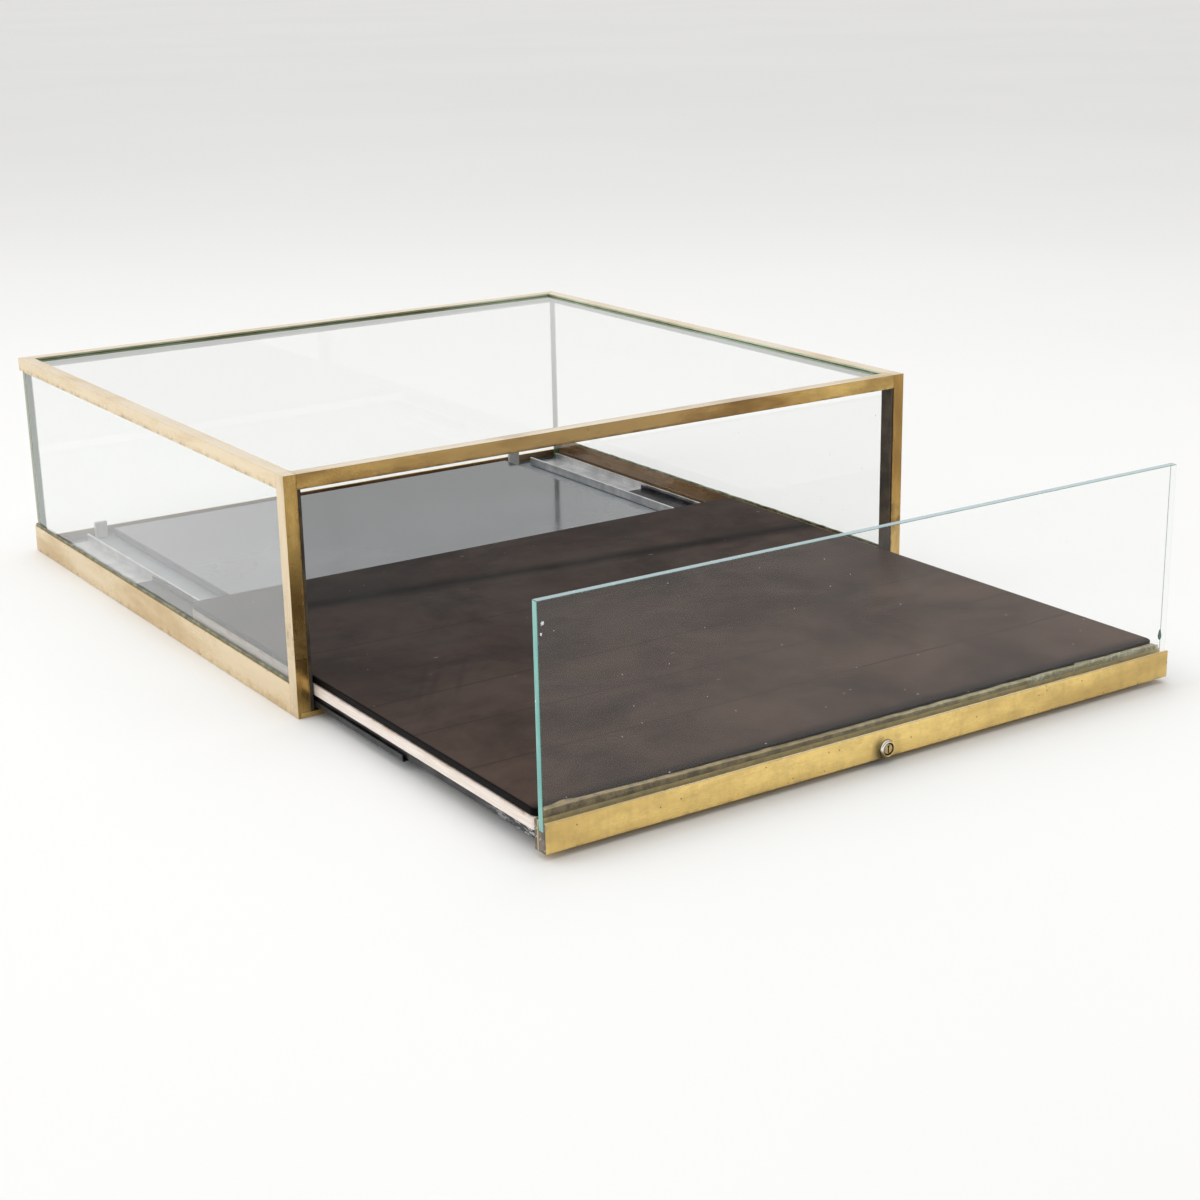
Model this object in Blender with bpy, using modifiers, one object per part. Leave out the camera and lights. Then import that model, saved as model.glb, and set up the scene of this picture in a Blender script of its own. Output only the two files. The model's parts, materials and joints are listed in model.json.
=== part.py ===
"""Tabletop display case: a glass case in a brass frame, with a lockable display tray that slides out of
its front on two flat telescopic slides and carries the front pane in its brass front bar.

Metres, +Z up. The origin is the middle of the case's underside, and -Y is its front. The tray is drawn out.
"""
import math

import bmesh
import bpy

MM = 0.001
GAP = 0.3 * MM                    # clear space left between pieces that touch

# Case
CASE_WIDTH = 600 * MM
CASE_DEPTH = 580 * MM
CASE_HEIGHT = 190 * MM
WALL = 2 * MM                     # brass section thickness
TOP_LEG = 12 * MM                 # leg of the top rails' angle
POST_FACE = 11 * MM               # front face of a post
POST_SIDE = 13 * MM               # side face of a post
SIDE_BAR_HEIGHT = 25 * MM
BACK_BAR_HEIGHT = 13 * MM
THRESHOLD_HEIGHT = 4 * MM
THRESHOLD_DEPTH = 22 * MM
CAM_SLOT_HALF = 8 * MM            # slot in the threshold that takes the lock's cam
CAM_SLOT_WIDE = 3.8 * MM
CAM_SLOT_BACK = 2.4 * MM          # from the closed bar's back to the slot
BASE_THICK = 4.3 * MM
GLASS = 6 * MM
BOND = 0.9 * MM                   # adhesive between two panes at a back corner
BEAD_HEIGHT = 2.3 * MM
BEAD_INSET = 0.4 * MM             # from the case's side
SEAL_INSET = 0.6 * MM             # from the case's front
STOP_FROM, STOP_TO = 56 * MM, 68 * MM           # from the case's side
STOP_DEPTH = 5 * MM
STOP_TOP = 21 * MM
OPENING_HALF = 286 * MM           # from the middle to the face of a side seal

# Deck inside the case
DECK_HALF_WIDTH = 226 * MM
DECK_TOP = 13 * MM
DECK_START = 30 * MM              # behind the case's front
DECK_END = 14 * MM                # in front of the case's back

# Tray
DRAWN_OUT = 330 * MM
BAR_HALF = 285.7 * MM
BAR_BOTTOM = 4.4 * MM
BAR_TOP = 25.7 * MM
BAR_DEPTH = 13 * MM
BAR_LIP = 2.2 * MM
BAR_SLOT = 6.6 * MM
BAR_SLOT_FLOOR = 18.2 * MM
FRONT_GLASS_TOP = 174 * MM
BOARD_HALF = 285 * MM
BOARD_BOTTOM = 16 * MM
BOARD_TOP = 24.8 * MM
BOARD_BACK = 14 * MM              # from the board's closed back edge to the case's back
BOARD_CORNER = 5 * MM
COVER_INSET = 0.6 * MM
COVER_TOP = 31 * MM
COVER_CORNER = 7 * MM
PANE_INSET = 0.4 * MM             # from the bar's end to the pane's
BEDDING_INSET = 4 * MM            # from the pane's end to the adhesive's
BEDDING_FRONT = 3.3 * MM          # height of the adhesive against the pane
BEDDING_REAR = 2 * MM             # and at the bar's back
RECESS_HALF = 10 * MM             # clearance under the board for the lock's nut and cam
RECESS_HEIGHT = 5 * MM

# Slides: three nested channels, measured from the side of the case
SHEET = 1.2 * MM
OUTER_FROM, OUTER_TO = 11.4 * MM, 45.8 * MM
RUNNER_FROM, RUNNER_TO = 14.4 * MM, 42.8 * MM
INNER_FROM, INNER_TO = 16.8 * MM, 40.4 * MM
OUTER_FLOOR, OUTER_TOP = 4.6 * MM, 13.4 * MM
RUNNER_FLOOR, RUNNER_TOP = 6.6 * MM, 11.8 * MM
INNER_FOOT, INNER_TOP = 9.5 * MM, 14.9 * MM
LIP = 1.9 * MM
OUTER_START, OUTER_END = 24 * MM, 560 * MM      # from the case's front
RUNNER_START, RUNNER_END = 26 * MM, 554 * MM
INNER_START, INNER_END = 14 * MM, 558 * MM
CASE_SCREW_PLACES = (60 * MM, 470 * MM, 535 * MM)
TRAY_SCREW_PLACES = (45 * MM, 525 * MM)
CASE_SCREW = (3.0 * MM, 0.55 * MM, 1.5 * MM, 5.2 * MM)    # head radius and height, shank radius and length
TRAY_SCREW = (3.2 * MM, 1.6 * MM, 1.5 * MM, 9 * MM)
SCREW_SLOT_HALF = 0.4 * MM
HOLE_RADIUS = 1.9 * MM
BOARD_HOLE_DEPTH = 7.5 * MM

# Lock
LOCK_HEIGHT = 11.1 * MM
BEZEL_RADIUS = 6.7 * MM
BARREL_RADIUS = 5.2 * MM
BARREL_PAST = 2.9 * MM            # length of the barrel behind the bar
PLUG_RADIUS = 4.0 * MM
KEYWAY_HALF = (0.55 * MM, 2.7 * MM)
KEYWAY_DEPTH = 8 * MM
NUT_FLATS = 12.6 * MM
NUT_THICK = 2.4 * MM
CAM_REACH = 9.3 * MM
CAM_HALF_WIDTH = 3.4 * MM
CAM_THICK = 1.5 * MM
CAM_HOLE = 1.4 * MM
CAM_THREAD = 1.3 * MM

HALF_WIDTH = CASE_WIDTH / 2
FRONT = -CASE_DEPTH / 2
BACK = CASE_DEPTH / 2
TRAY_FRONT = FRONT - DRAWN_OUT
RUNNER_OUT = DRAWN_OUT / 2
LEFT, RIGHT = -1, 1
SIDE_NAMES = {LEFT: "left", RIGHT: "right"}
ROUND = 48                        # segments of a lock piece

# A flat outline's local X, Y and thickness turned onto the world's axes
ALONG_X = (math.radians(90), 0, math.radians(90))
ALONG_Y = (math.radians(90), 0, 0)
ALONG_Z = (0, 0, 0)


# ---- scene, collections and materials

def clear_scene():
    for obj in list(bpy.data.objects):
        bpy.data.objects.remove(obj, do_unlink=True)


def new_collection(name, hidden=False):
    collection = bpy.data.collections.new(name)
    collection.hide_render = hidden
    bpy.context.scene.collection.children.link(collection)
    return collection


clear_scene()
parts = new_collection("tabletop_display_case")
cutters = new_collection("cutters", hidden=True)


def new_material(name, colour, metallic, roughness, alpha=1.0):
    material = bpy.data.materials.new(name)
    material.use_nodes = True
    shader = material.node_tree.nodes["Principled BSDF"]
    shader.inputs["Base Color"].default_value = (*colour, 1)
    shader.inputs["Metallic"].default_value = metallic
    shader.inputs["Roughness"].default_value = roughness
    shader.inputs["Alpha"].default_value = alpha
    material.diffuse_color = (*colour, alpha)
    return material


brass = new_material("aged_brass", (0.62, 0.44, 0.20), 1.0, 0.38)
clear_glass = new_material("clear_glass", (0.86, 0.95, 0.92), 0.0, 0.03, alpha=0.3)
corner_glue = new_material("corner_glue", (0.30, 0.32, 0.18), 0.0, 0.40, alpha=0.6)
bead_sealant = new_material("bead_sealant", (0.22, 0.22, 0.11), 0.0, 0.50)
seal_strip = new_material("seal_strip", (0.06, 0.05, 0.04), 0.0, 0.60)
grey_board = new_material("grey_board", (0.46, 0.48, 0.50), 0.0, 0.35)
gloss_panel = new_material("gloss_panel", (0.55, 0.57, 0.59), 0.0, 0.12)
zinc_steel = new_material("zinc_steel", (0.50, 0.51, 0.53), 1.0, 0.40)
dark_steel = new_material("dark_steel", (0.10, 0.10, 0.11), 1.0, 0.45)
pale_rubber = new_material("pale_rubber", (0.75, 0.75, 0.73), 0.0, 0.50)
cream_board = new_material("cream_board", (0.86, 0.78, 0.70), 0.0, 0.60)
dark_cloth = new_material("dark_cloth", (0.09, 0.065, 0.06), 0.0, 0.65)
dark_packing = new_material("dark_packing", (0.02, 0.02, 0.02), 0.0, 0.80)
bedding = new_material("bedding", (0.35, 0.29, 0.16), 0.0, 0.45)
nickel = new_material("nickel", (0.62, 0.60, 0.55), 1.0, 0.22)


# ---- modelling helpers

def place(obj, material, collection=parts, location=None, rotation=None, parent=None):
    obj.data.materials.append(material)
    collection.objects.link(obj)
    if location is not None:
        obj.location = location
    if rotation is not None:
        obj.rotation_euler = rotation
    if parent is not None:
        bpy.context.view_layer.update()
        obj.parent = parent
        obj.matrix_parent_inverse = parent.matrix_world.inverted()
    return obj


def box(name, low, high, material, collection=parts, parent=None):
    """A block between two corners, with its origin in its middle."""
    size = [high[i] - low[i] for i in range(3)]
    middle = [(high[i] + low[i]) / 2 for i in range(3)]
    shape = bmesh.new()
    bmesh.ops.create_cube(shape, size=1)
    bmesh.ops.scale(shape, vec=size, verts=shape.verts)
    mesh = bpy.data.meshes.new(name)
    shape.to_mesh(mesh)
    shape.free()
    return place(bpy.data.objects.new(name, mesh), material, collection, middle, parent=parent)


def cutter_box(name, low, high):
    block = box(name, low, high, brass, cutters)
    block.display_type = "WIRE"
    block.hide_render = True
    return block


def rod(name, radius, low, high, centre, axis):
    """A round cutter from low to high along one of the world's axes, about centre on the other two."""
    shape = bmesh.new()
    bmesh.ops.create_cone(
        shape, cap_ends=True, segments=24, radius1=radius, radius2=radius, depth=high - low
    )
    mesh = bpy.data.meshes.new(name)
    shape.to_mesh(mesh)
    shape.free()
    middle = (low + high) / 2
    location = {"y": (centre[0], middle, centre[1]), "z": (centre[0], centre[1], middle)}[axis]
    rotation = {"y": ALONG_Y, "z": ALONG_Z}[axis]
    cutter = place(bpy.data.objects.new(name, mesh), brass, cutters, location, rotation)
    cutter.display_type = "WIRE"
    cutter.hide_render = True
    return cutter


def cut(obj, cutter, operation="DIFFERENCE"):
    modifier = obj.modifiers.new(cutter.name, "BOOLEAN")
    modifier.operation = operation
    modifier.object = cutter
    return obj


def sheet(name, outlines, low, high, rotation, material, offset=(0, 0), parent=None):
    """A flat outline, with holes where more outlines lie inside it, thickened from low to high."""
    curve = bpy.data.curves.new(name, "CURVE")
    curve.dimensions = "2D"
    curve.fill_mode = "BOTH"
    curve.extrude = (high - low) / 2
    for outline in outlines:
        spline = curve.splines.new("POLY")
        spline.points.add(len(outline) - 1)
        for point, (u, v) in zip(spline.points, outline):
            point.co = (u, v, 0, 1)
        spline.use_cyclic_u = True
    middle = (low + high) / 2
    if rotation == ALONG_X:
        location = (middle, offset[0], offset[1])
    elif rotation == ALONG_Y:
        location = (offset[0], middle, offset[1])
    else:
        location = (offset[0], offset[1], middle)
    obj = bpy.data.objects.new(name, curve)
    return place(obj, material, parts, location, rotation, parent)


def to_mesh(obj):
    """The same piece as a mesh with its caps joined to its sides, so that it can be cut."""
    bpy.context.view_layer.update()
    evaluated = obj.evaluated_get(bpy.context.evaluated_depsgraph_get())
    mesh = bpy.data.meshes.new_from_object(evaluated)
    shape = bmesh.new()
    shape.from_mesh(mesh)
    bmesh.ops.remove_doubles(shape, verts=shape.verts, dist=0.001 * MM)
    bmesh.ops.recalc_face_normals(shape, faces=shape.faces)
    shape.to_mesh(mesh)
    shape.free()
    name, parent, world = obj.name, obj.parent, obj.matrix_world.copy()
    bpy.data.objects.remove(obj, do_unlink=True)
    solid = bpy.data.objects.new(name, mesh)
    parts.objects.link(solid)
    solid.parent = parent
    solid.matrix_world = world
    return solid


def turned(name, profile, location, rotation, material, steps=ROUND, parent=None, closed=False):
    """A profile of (radius, height) points, top to bottom down its outer side, turned about its axis."""
    shape = bmesh.new()
    points = [shape.verts.new((radius, 0, height)) for radius, height in profile]
    for start, end in zip(points, points[1:]):
        shape.edges.new((start, end))
    if closed:
        shape.edges.new((points[-1], points[0]))
    mesh = bpy.data.meshes.new(name)
    shape.to_mesh(mesh)
    shape.free()
    obj = place(bpy.data.objects.new(name, mesh), material, parts, location, rotation, parent)
    screw = obj.modifiers.new("turn", "SCREW")
    screw.steps = screw.render_steps = steps
    screw.use_merge_vertices = True
    screw.merge_threshold = 0.01 * MM
    screw.use_smooth_shade = True
    return obj


# ---- outlines

def rectangle(u0, v0, u1, v1):
    return [(u0, v0), (u1, v0), (u1, v1), (u0, v1)]


def circle(u, v, radius, count=24):
    turns = [2 * math.pi * i / count for i in range(count)]
    return [(u + radius * math.cos(turn), v + radius * math.sin(turn)) for turn in turns]


def rounded_rectangle(u0, v0, u1, v1, radius, steps=6):
    corners = [(u1 - radius, v1 - radius), (u0 + radius, v1 - radius),
               (u0 + radius, v0 + radius), (u1 - radius, v0 + radius)]
    points = []
    for quarter, (u, v) in enumerate(corners):
        for step in range(steps + 1):
            turn = math.pi / 2 * (quarter + step / steps)
            points.append((u + radius * math.cos(turn), v + radius * math.sin(turn)))
    return points


def mirrored(outline, side):
    """The outline of a left-hand piece, measured from the case's left side, for either side."""
    return [(side * (HALF_WIDTH - u), v) for u, v in outline]


# ---- brass frame of the case

def make_posts():
    """Front corner angles, from the table to a cap that closes the corner of the top frame."""
    for side, word in SIDE_NAMES.items():
        angle = [(0, 0), (POST_FACE, 0), (POST_FACE, WALL), (WALL, WALL), (WALL, POST_SIDE), (0, POST_SIDE)]
        outline = [(side * (HALF_WIDTH - u), FRONT + v) for u, v in angle]
        post = sheet(f"front_post_{word}", [outline], 0, CASE_HEIGHT - WALL / 2, ALONG_Z, brass)
        post = to_mesh(post)
        inner, outer = sorted((side * (HALF_WIDTH - POST_FACE), side * HALF_WIDTH))
        cap = cutter_box(f"post_cap_{word}", (inner, FRONT, CASE_HEIGHT - WALL),
                         (outer, FRONT + POST_SIDE, CASE_HEIGHT))
        cut(post, cap, "UNION")
        # The threshold runs on under the front face.
        foot_inner, foot_outer = sorted((side * (HALF_WIDTH - POST_FACE - WALL), side * (HALF_WIDTH - WALL)))
        foot = cutter_box(f"post_foot_{word}", (foot_inner, FRONT - WALL, -WALL),
                          (foot_outer, FRONT + WALL + GAP, THRESHOLD_HEIGHT + GAP))
        cut(post, foot)


def mitre(rail, axis, corner, direction, outer):
    """Cuts one end of a rail at 45 degrees: each end point moves back by its distance from the outer face."""
    for vertex in rail.data.vertices:
        world = rail.matrix_world @ vertex.co
        if abs(world[axis] - corner) < MM:
            depth = abs(world[1 - axis] - outer)
            world[axis] = corner - direction * (depth + GAP / 2)
            vertex.co = rail.matrix_world.inverted() @ world
    rail.data.update()


def top_angle(towards):
    """Angle section with its corner at the top outer edge; towards is the way its flat leg points."""
    top, foot = CASE_HEIGHT, CASE_HEIGHT - TOP_LEG
    points = [(0, foot), (WALL, foot), (WALL, top - WALL), (TOP_LEG, top - WALL), (TOP_LEG, top), (0, top)]
    return [(towards * u, v) for u, v in points]


def make_top_frame():
    half = HALF_WIDTH - POST_FACE - GAP
    front = [(FRONT + u, v) for u, v in top_angle(1)]
    sheet("top_rail_front", [front], -half, half, ALONG_X, brass)
    back = [(BACK + u, v) for u, v in top_angle(-1)]
    rail = to_mesh(sheet("top_rail_back", [back], -HALF_WIDTH, HALF_WIDTH, ALONG_X, brass))
    bpy.context.view_layer.update()
    mitre(rail, 0, HALF_WIDTH, 1, BACK)
    mitre(rail, 0, -HALF_WIDTH, -1, BACK)
    for side, word in SIDE_NAMES.items():
        outline = [(side * HALF_WIDTH + u, v) for u, v in top_angle(-side)]
        rail = to_mesh(sheet(f"top_rail_{word}", [outline], FRONT + POST_SIDE + GAP, BACK, ALONG_Y, brass))
        bpy.context.view_layer.update()
        mitre(rail, 1, BACK, 1, side * HALF_WIDTH)


def make_base():
    """Flat brass bars round a grey base board, with a brass threshold under the tray's front bar."""
    for side, word in SIDE_NAMES.items():
        low, high = sorted((side * HALF_WIDTH, side * (HALF_WIDTH - WALL)))
        box(f"bottom_rail_{word}", (low, FRONT + POST_SIDE + GAP, 0), (high, BACK, SIDE_BAR_HEIGHT), brass)
        low, high = sorted((side * (HALF_WIDTH - BEAD_INSET), side * (HALF_WIDTH - WALL)))
        bead_bottom = SIDE_BAR_HEIGHT + GAP
        box(f"glazing_bead_{word}", (low, FRONT + POST_SIDE + GAP, bead_bottom),
            (high, BACK - WALL - GAP, bead_bottom + BEAD_HEIGHT), bead_sealant)
    inside = HALF_WIDTH - WALL - GAP
    box("bottom_rail_back", (-inside, BACK - WALL, 0), (inside, BACK, BACK_BAR_HEIGHT), brass)

    slot_front = FRONT + BAR_DEPTH + CAM_SLOT_BACK
    slot = rectangle(-CAM_SLOT_HALF, slot_front, CAM_SLOT_HALF, slot_front + CAM_SLOT_WIDE)
    plate = rectangle(-inside, FRONT, inside, FRONT + THRESHOLD_DEPTH)
    sheet("front_threshold", [plate, slot], 0, THRESHOLD_HEIGHT, ALONG_Z, brass)

    board = rectangle(-inside, FRONT + THRESHOLD_DEPTH + GAP, inside, BACK - WALL - GAP)
    holes = [circle(x, y, HOLE_RADIUS, 16) for _, _, x, y in slide_screw_places()]
    sheet("base_board", [board, *holes], 0, BASE_THICK, ALONG_Z, grey_board)
    deck = rectangle(-DECK_HALF_WIDTH, FRONT + DECK_START, DECK_HALF_WIDTH, BACK - DECK_END)
    sheet("deck_panel", [deck], BASE_THICK + GAP, DECK_TOP, ALONG_Z, gloss_panel)


# ---- glass, its adhesive and the seals

def make_glass():
    """The top lies under the flat legs of the frame, and the sides and back stand on the base board."""
    inside = HALF_WIDTH - WALL - GAP
    back_outer = BACK - WALL - GAP
    back_inner = back_outer - GLASS
    top = CASE_HEIGHT - WALL - GAP
    under_top = top - GLASS - GAP
    foot = BASE_THICK + GAP
    box("glass_top", (-inside, FRONT + WALL + GAP, top - GLASS), (inside, back_outer, top), clear_glass)
    box("glass_back", (-inside, back_inner, foot), (inside, back_outer, under_top), clear_glass)
    side_end = back_inner - 2 * GAP - BOND
    for side, word in SIDE_NAMES.items():
        low, high = sorted((side * inside, side * (inside - GLASS)))
        start = FRONT + THRESHOLD_DEPTH + GAP
        front_edge = FRONT + WALL + GAP
        sheet(
            f"glass_{word}",
            [[(front_edge, THRESHOLD_HEIGHT + GAP), (start, THRESHOLD_HEIGHT + GAP), (start, foot),
              (side_end, foot), (side_end, under_top), (front_edge, under_top)]],
            low, high, ALONG_X, clear_glass,
        )
        box(f"corner_bond_{word}", (low + GAP, side_end + GAP, foot),
            (high - GAP, back_inner - GAP, under_top), corner_glue)
        low, high = sorted((side * (HALF_WIDTH - POST_FACE - GAP), side * OPENING_HALF))
        box(f"side_seal_{word}", (low, FRONT + SEAL_INSET, THRESHOLD_HEIGHT + GAP),
            (high, FRONT + POST_SIDE, CASE_HEIGHT - TOP_LEG - GAP), seal_strip)
        low, high = sorted((side * (HALF_WIDTH - STOP_FROM), side * (HALF_WIDTH - STOP_TO)))
        box(f"back_stop_{word}", (low, back_inner - GAP - STOP_DEPTH, foot),
            (high, back_inner - GAP, STOP_TOP), pale_rubber)


# ---- slides

def slide_screw_places():
    """(side word, number, x, y) of each screw that holds an outer channel to the base board."""
    middle = (OUTER_FROM + OUTER_TO) / 2
    return [
        (word, number, side * (HALF_WIDTH - middle), FRONT + distance)
        for side, word in SIDE_NAMES.items()
        for number, distance in enumerate(CASE_SCREW_PLACES, start=1)
    ]


def tray_screw_places():
    """(side word, number, x, y) of each screw that holds an inner channel to the tray, with the tray out."""
    middle = (INNER_FROM + INNER_TO) / 2
    return [
        (word, number, side * (HALF_WIDTH - middle), TRAY_FRONT + distance)
        for side, word in SIDE_NAMES.items()
        for number, distance in enumerate(TRAY_SCREW_PLACES, start=1)
    ]


def lipped_channel(start, end, floor, top):
    """An upright channel whose edges turn in, as a rolled slide member has."""
    return [
        (start, floor), (end, floor), (end, top), (end - LIP, top), (end - LIP, top - SHEET),
        (end - SHEET, top - SHEET), (end - SHEET, floor + SHEET), (start + SHEET, floor + SHEET),
        (start + SHEET, top - SHEET), (start + LIP, top - SHEET), (start + LIP, top), (start, top),
    ]


def open_channel(start, end, web, edge):
    """A plain channel with its web at one height and the edges of its legs at another."""
    inside = web + math.copysign(SHEET, edge - web)
    return [
        (start, web), (end, web), (end, edge), (end - SHEET, edge),
        (end - SHEET, inside), (start + SHEET, inside), (start + SHEET, edge), (start, edge),
    ]


def pan_head_screw(name, x, y, seat, up, size, parent=None):
    """A screw whose head bears on seat; up is 1 where the head is above its shank."""
    head_radius, head_height, shank_radius, shank_length = size
    profile = [
        (0, head_height), (head_radius * 0.62, head_height), (head_radius * 0.9, head_height * 0.72),
        (head_radius, head_height * 0.3), (head_radius, 0), (shank_radius, 0),
        (shank_radius, -shank_length + 0.8 * MM), (0, -shank_length),
    ]
    rotation = (0, 0, 0) if up > 0 else (math.pi, 0, 0)
    screw = turned(name, profile, (x, y, seat), rotation, zinc_steel, steps=20, parent=parent)
    half = head_radius * 1.1
    depth = head_height * 0.5
    low, high = sorted((seat + up * (head_height - depth), seat + up * (head_height + MM)))
    slot = cutter_box(f"{name}_slot", (x - half, y - SCREW_SLOT_HALF, low),
                      (x + half, y + SCREW_SLOT_HALF, high))
    return cut(screw, slot)


def make_slides(tray, runners):
    for side, word in SIDE_NAMES.items():
        outer = mirrored(lipped_channel(OUTER_FROM, OUTER_TO, OUTER_FLOOR, OUTER_TOP), side)
        member = to_mesh(sheet(f"slide_{word}_outer", [outer], FRONT + OUTER_START, FRONT + OUTER_END,
                               ALONG_Y, zinc_steel))
        for screw_side, number, x, y in slide_screw_places():
            if screw_side != word:
                continue
            hole = rod(f"outer_hole_{word}_{number}", HOLE_RADIUS, OUTER_FLOOR - MM, OUTER_FLOOR + 2 * SHEET,
                       (x, y), "z")
            cut(member, hole)
            pan_head_screw(f"slide_screw_{word}_{number}", x, y, OUTER_FLOOR + SHEET + GAP / 3, 1,
                           CASE_SCREW)

        runner = mirrored(open_channel(RUNNER_FROM, RUNNER_TO, RUNNER_FLOOR, RUNNER_TOP), side)
        sheet(f"slide_{word}_middle", [runner], FRONT + RUNNER_START - RUNNER_OUT,
              FRONT + RUNNER_END - RUNNER_OUT, ALONG_Y, zinc_steel, parent=runners[side])

        inner = mirrored(open_channel(INNER_FROM, INNER_TO, INNER_TOP, INNER_FOOT), side)
        member = to_mesh(sheet(f"slide_{word}_inner", [inner], TRAY_FRONT + INNER_START,
                               TRAY_FRONT + INNER_END, ALONG_Y, dark_steel, parent=tray))
        strip_edges = (side * (HALF_WIDTH - INNER_FROM - MM), side * (HALF_WIDTH - INNER_TO + MM))
        holes = []
        for screw_side, number, x, y in tray_screw_places():
            if screw_side != word:
                continue
            hole = rod(f"inner_hole_{word}_{number}", HOLE_RADIUS, INNER_TOP - 2 * SHEET, INNER_TOP + MM,
                       (x, y), "z")
            cut(member, hole)
            holes.append(circle(x, y, HOLE_RADIUS, 16))
            pan_head_screw(f"tray_screw_{word}_{number}", x, y, INNER_TOP - SHEET - GAP, -1,
                           TRAY_SCREW, tray)
        strip = rectangle(min(strip_edges), TRAY_FRONT + INNER_START, max(strip_edges), TRAY_FRONT + INNER_END)
        sheet(f"packing_strip_{word}", [strip, *holes], INNER_TOP + GAP, BOARD_BOTTOM - GAP, ALONG_Z,
              dark_packing, parent=tray)


# ---- tray

def make_tray(tray):
    """Cream board with a dark covered board on it, and a slotted brass bar that holds the front pane."""
    back = BACK - BOARD_BACK - DRAWN_OUT
    board_front = TRAY_FRONT + BAR_DEPTH + GAP
    outline = rounded_rectangle(-BOARD_HALF, board_front, BOARD_HALF, back, BOARD_CORNER)
    board = to_mesh(sheet("tray_board", [outline], BOARD_BOTTOM, BOARD_TOP, ALONG_Z, cream_board,
                          parent=tray))
    recess = cutter_box("lock_recess", (-RECESS_HALF, board_front - MM, BOARD_BOTTOM - MM),
                        (RECESS_HALF, board_front + RECESS_HALF, BOARD_BOTTOM + RECESS_HEIGHT))
    cut(board, recess)
    for word, number, x, y in tray_screw_places():
        hole = rod(f"board_hole_{word}_{number}", HOLE_RADIUS, BOARD_BOTTOM - MM,
                   BOARD_BOTTOM + BOARD_HOLE_DEPTH, (x, y), "z")
        cut(board, hole)

    half = BOARD_HALF - COVER_INSET
    outline = rounded_rectangle(-half, board_front + GAP, half, back - COVER_INSET, COVER_CORNER)
    sheet("tray_cover", [outline], BOARD_TOP + GAP, COVER_TOP, ALONG_Z, dark_cloth, parent=tray)

    slot_front = TRAY_FRONT + BAR_LIP
    slot_back = slot_front + BAR_SLOT
    bar_back = TRAY_FRONT + BAR_DEPTH
    section = [
        (TRAY_FRONT, BAR_BOTTOM), (bar_back, BAR_BOTTOM), (bar_back, BAR_TOP), (slot_back, BAR_TOP),
        (slot_back, BAR_SLOT_FLOOR), (slot_front, BAR_SLOT_FLOOR), (slot_front, BAR_TOP),
        (TRAY_FRONT, BAR_TOP),
    ]
    bar = to_mesh(sheet("front_bar", [section], -BAR_HALF, BAR_HALF, ALONG_X, brass, parent=tray))
    hole = rod("lock_hole", BARREL_RADIUS + GAP, TRAY_FRONT - MM, bar_back + MM, (0, LOCK_HEIGHT), "y")
    cut(bar, hole)

    glass_front = slot_front + (BAR_SLOT - GLASS) / 2
    half = BAR_HALF - PANE_INSET
    box("front_glass", (-half, glass_front, BAR_SLOT_FLOOR + GAP),
        (half, glass_front + GLASS, FRONT_GLASS_TOP), clear_glass, parent=tray)
    bed_low, bed_front, bed_rear = BAR_TOP + GAP, slot_back + 2 * GAP / 3, bar_back - GAP / 3
    bed = [(bed_front, bed_low), (bed_rear, bed_low), (bed_rear, bed_low + BEDDING_REAR),
           (bed_front, bed_low + BEDDING_FRONT)]
    sheet("glass_bedding", [bed], -half + BEDDING_INSET, half - BEDDING_INSET, ALONG_X, bedding, parent=tray)


# ---- lock

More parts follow.
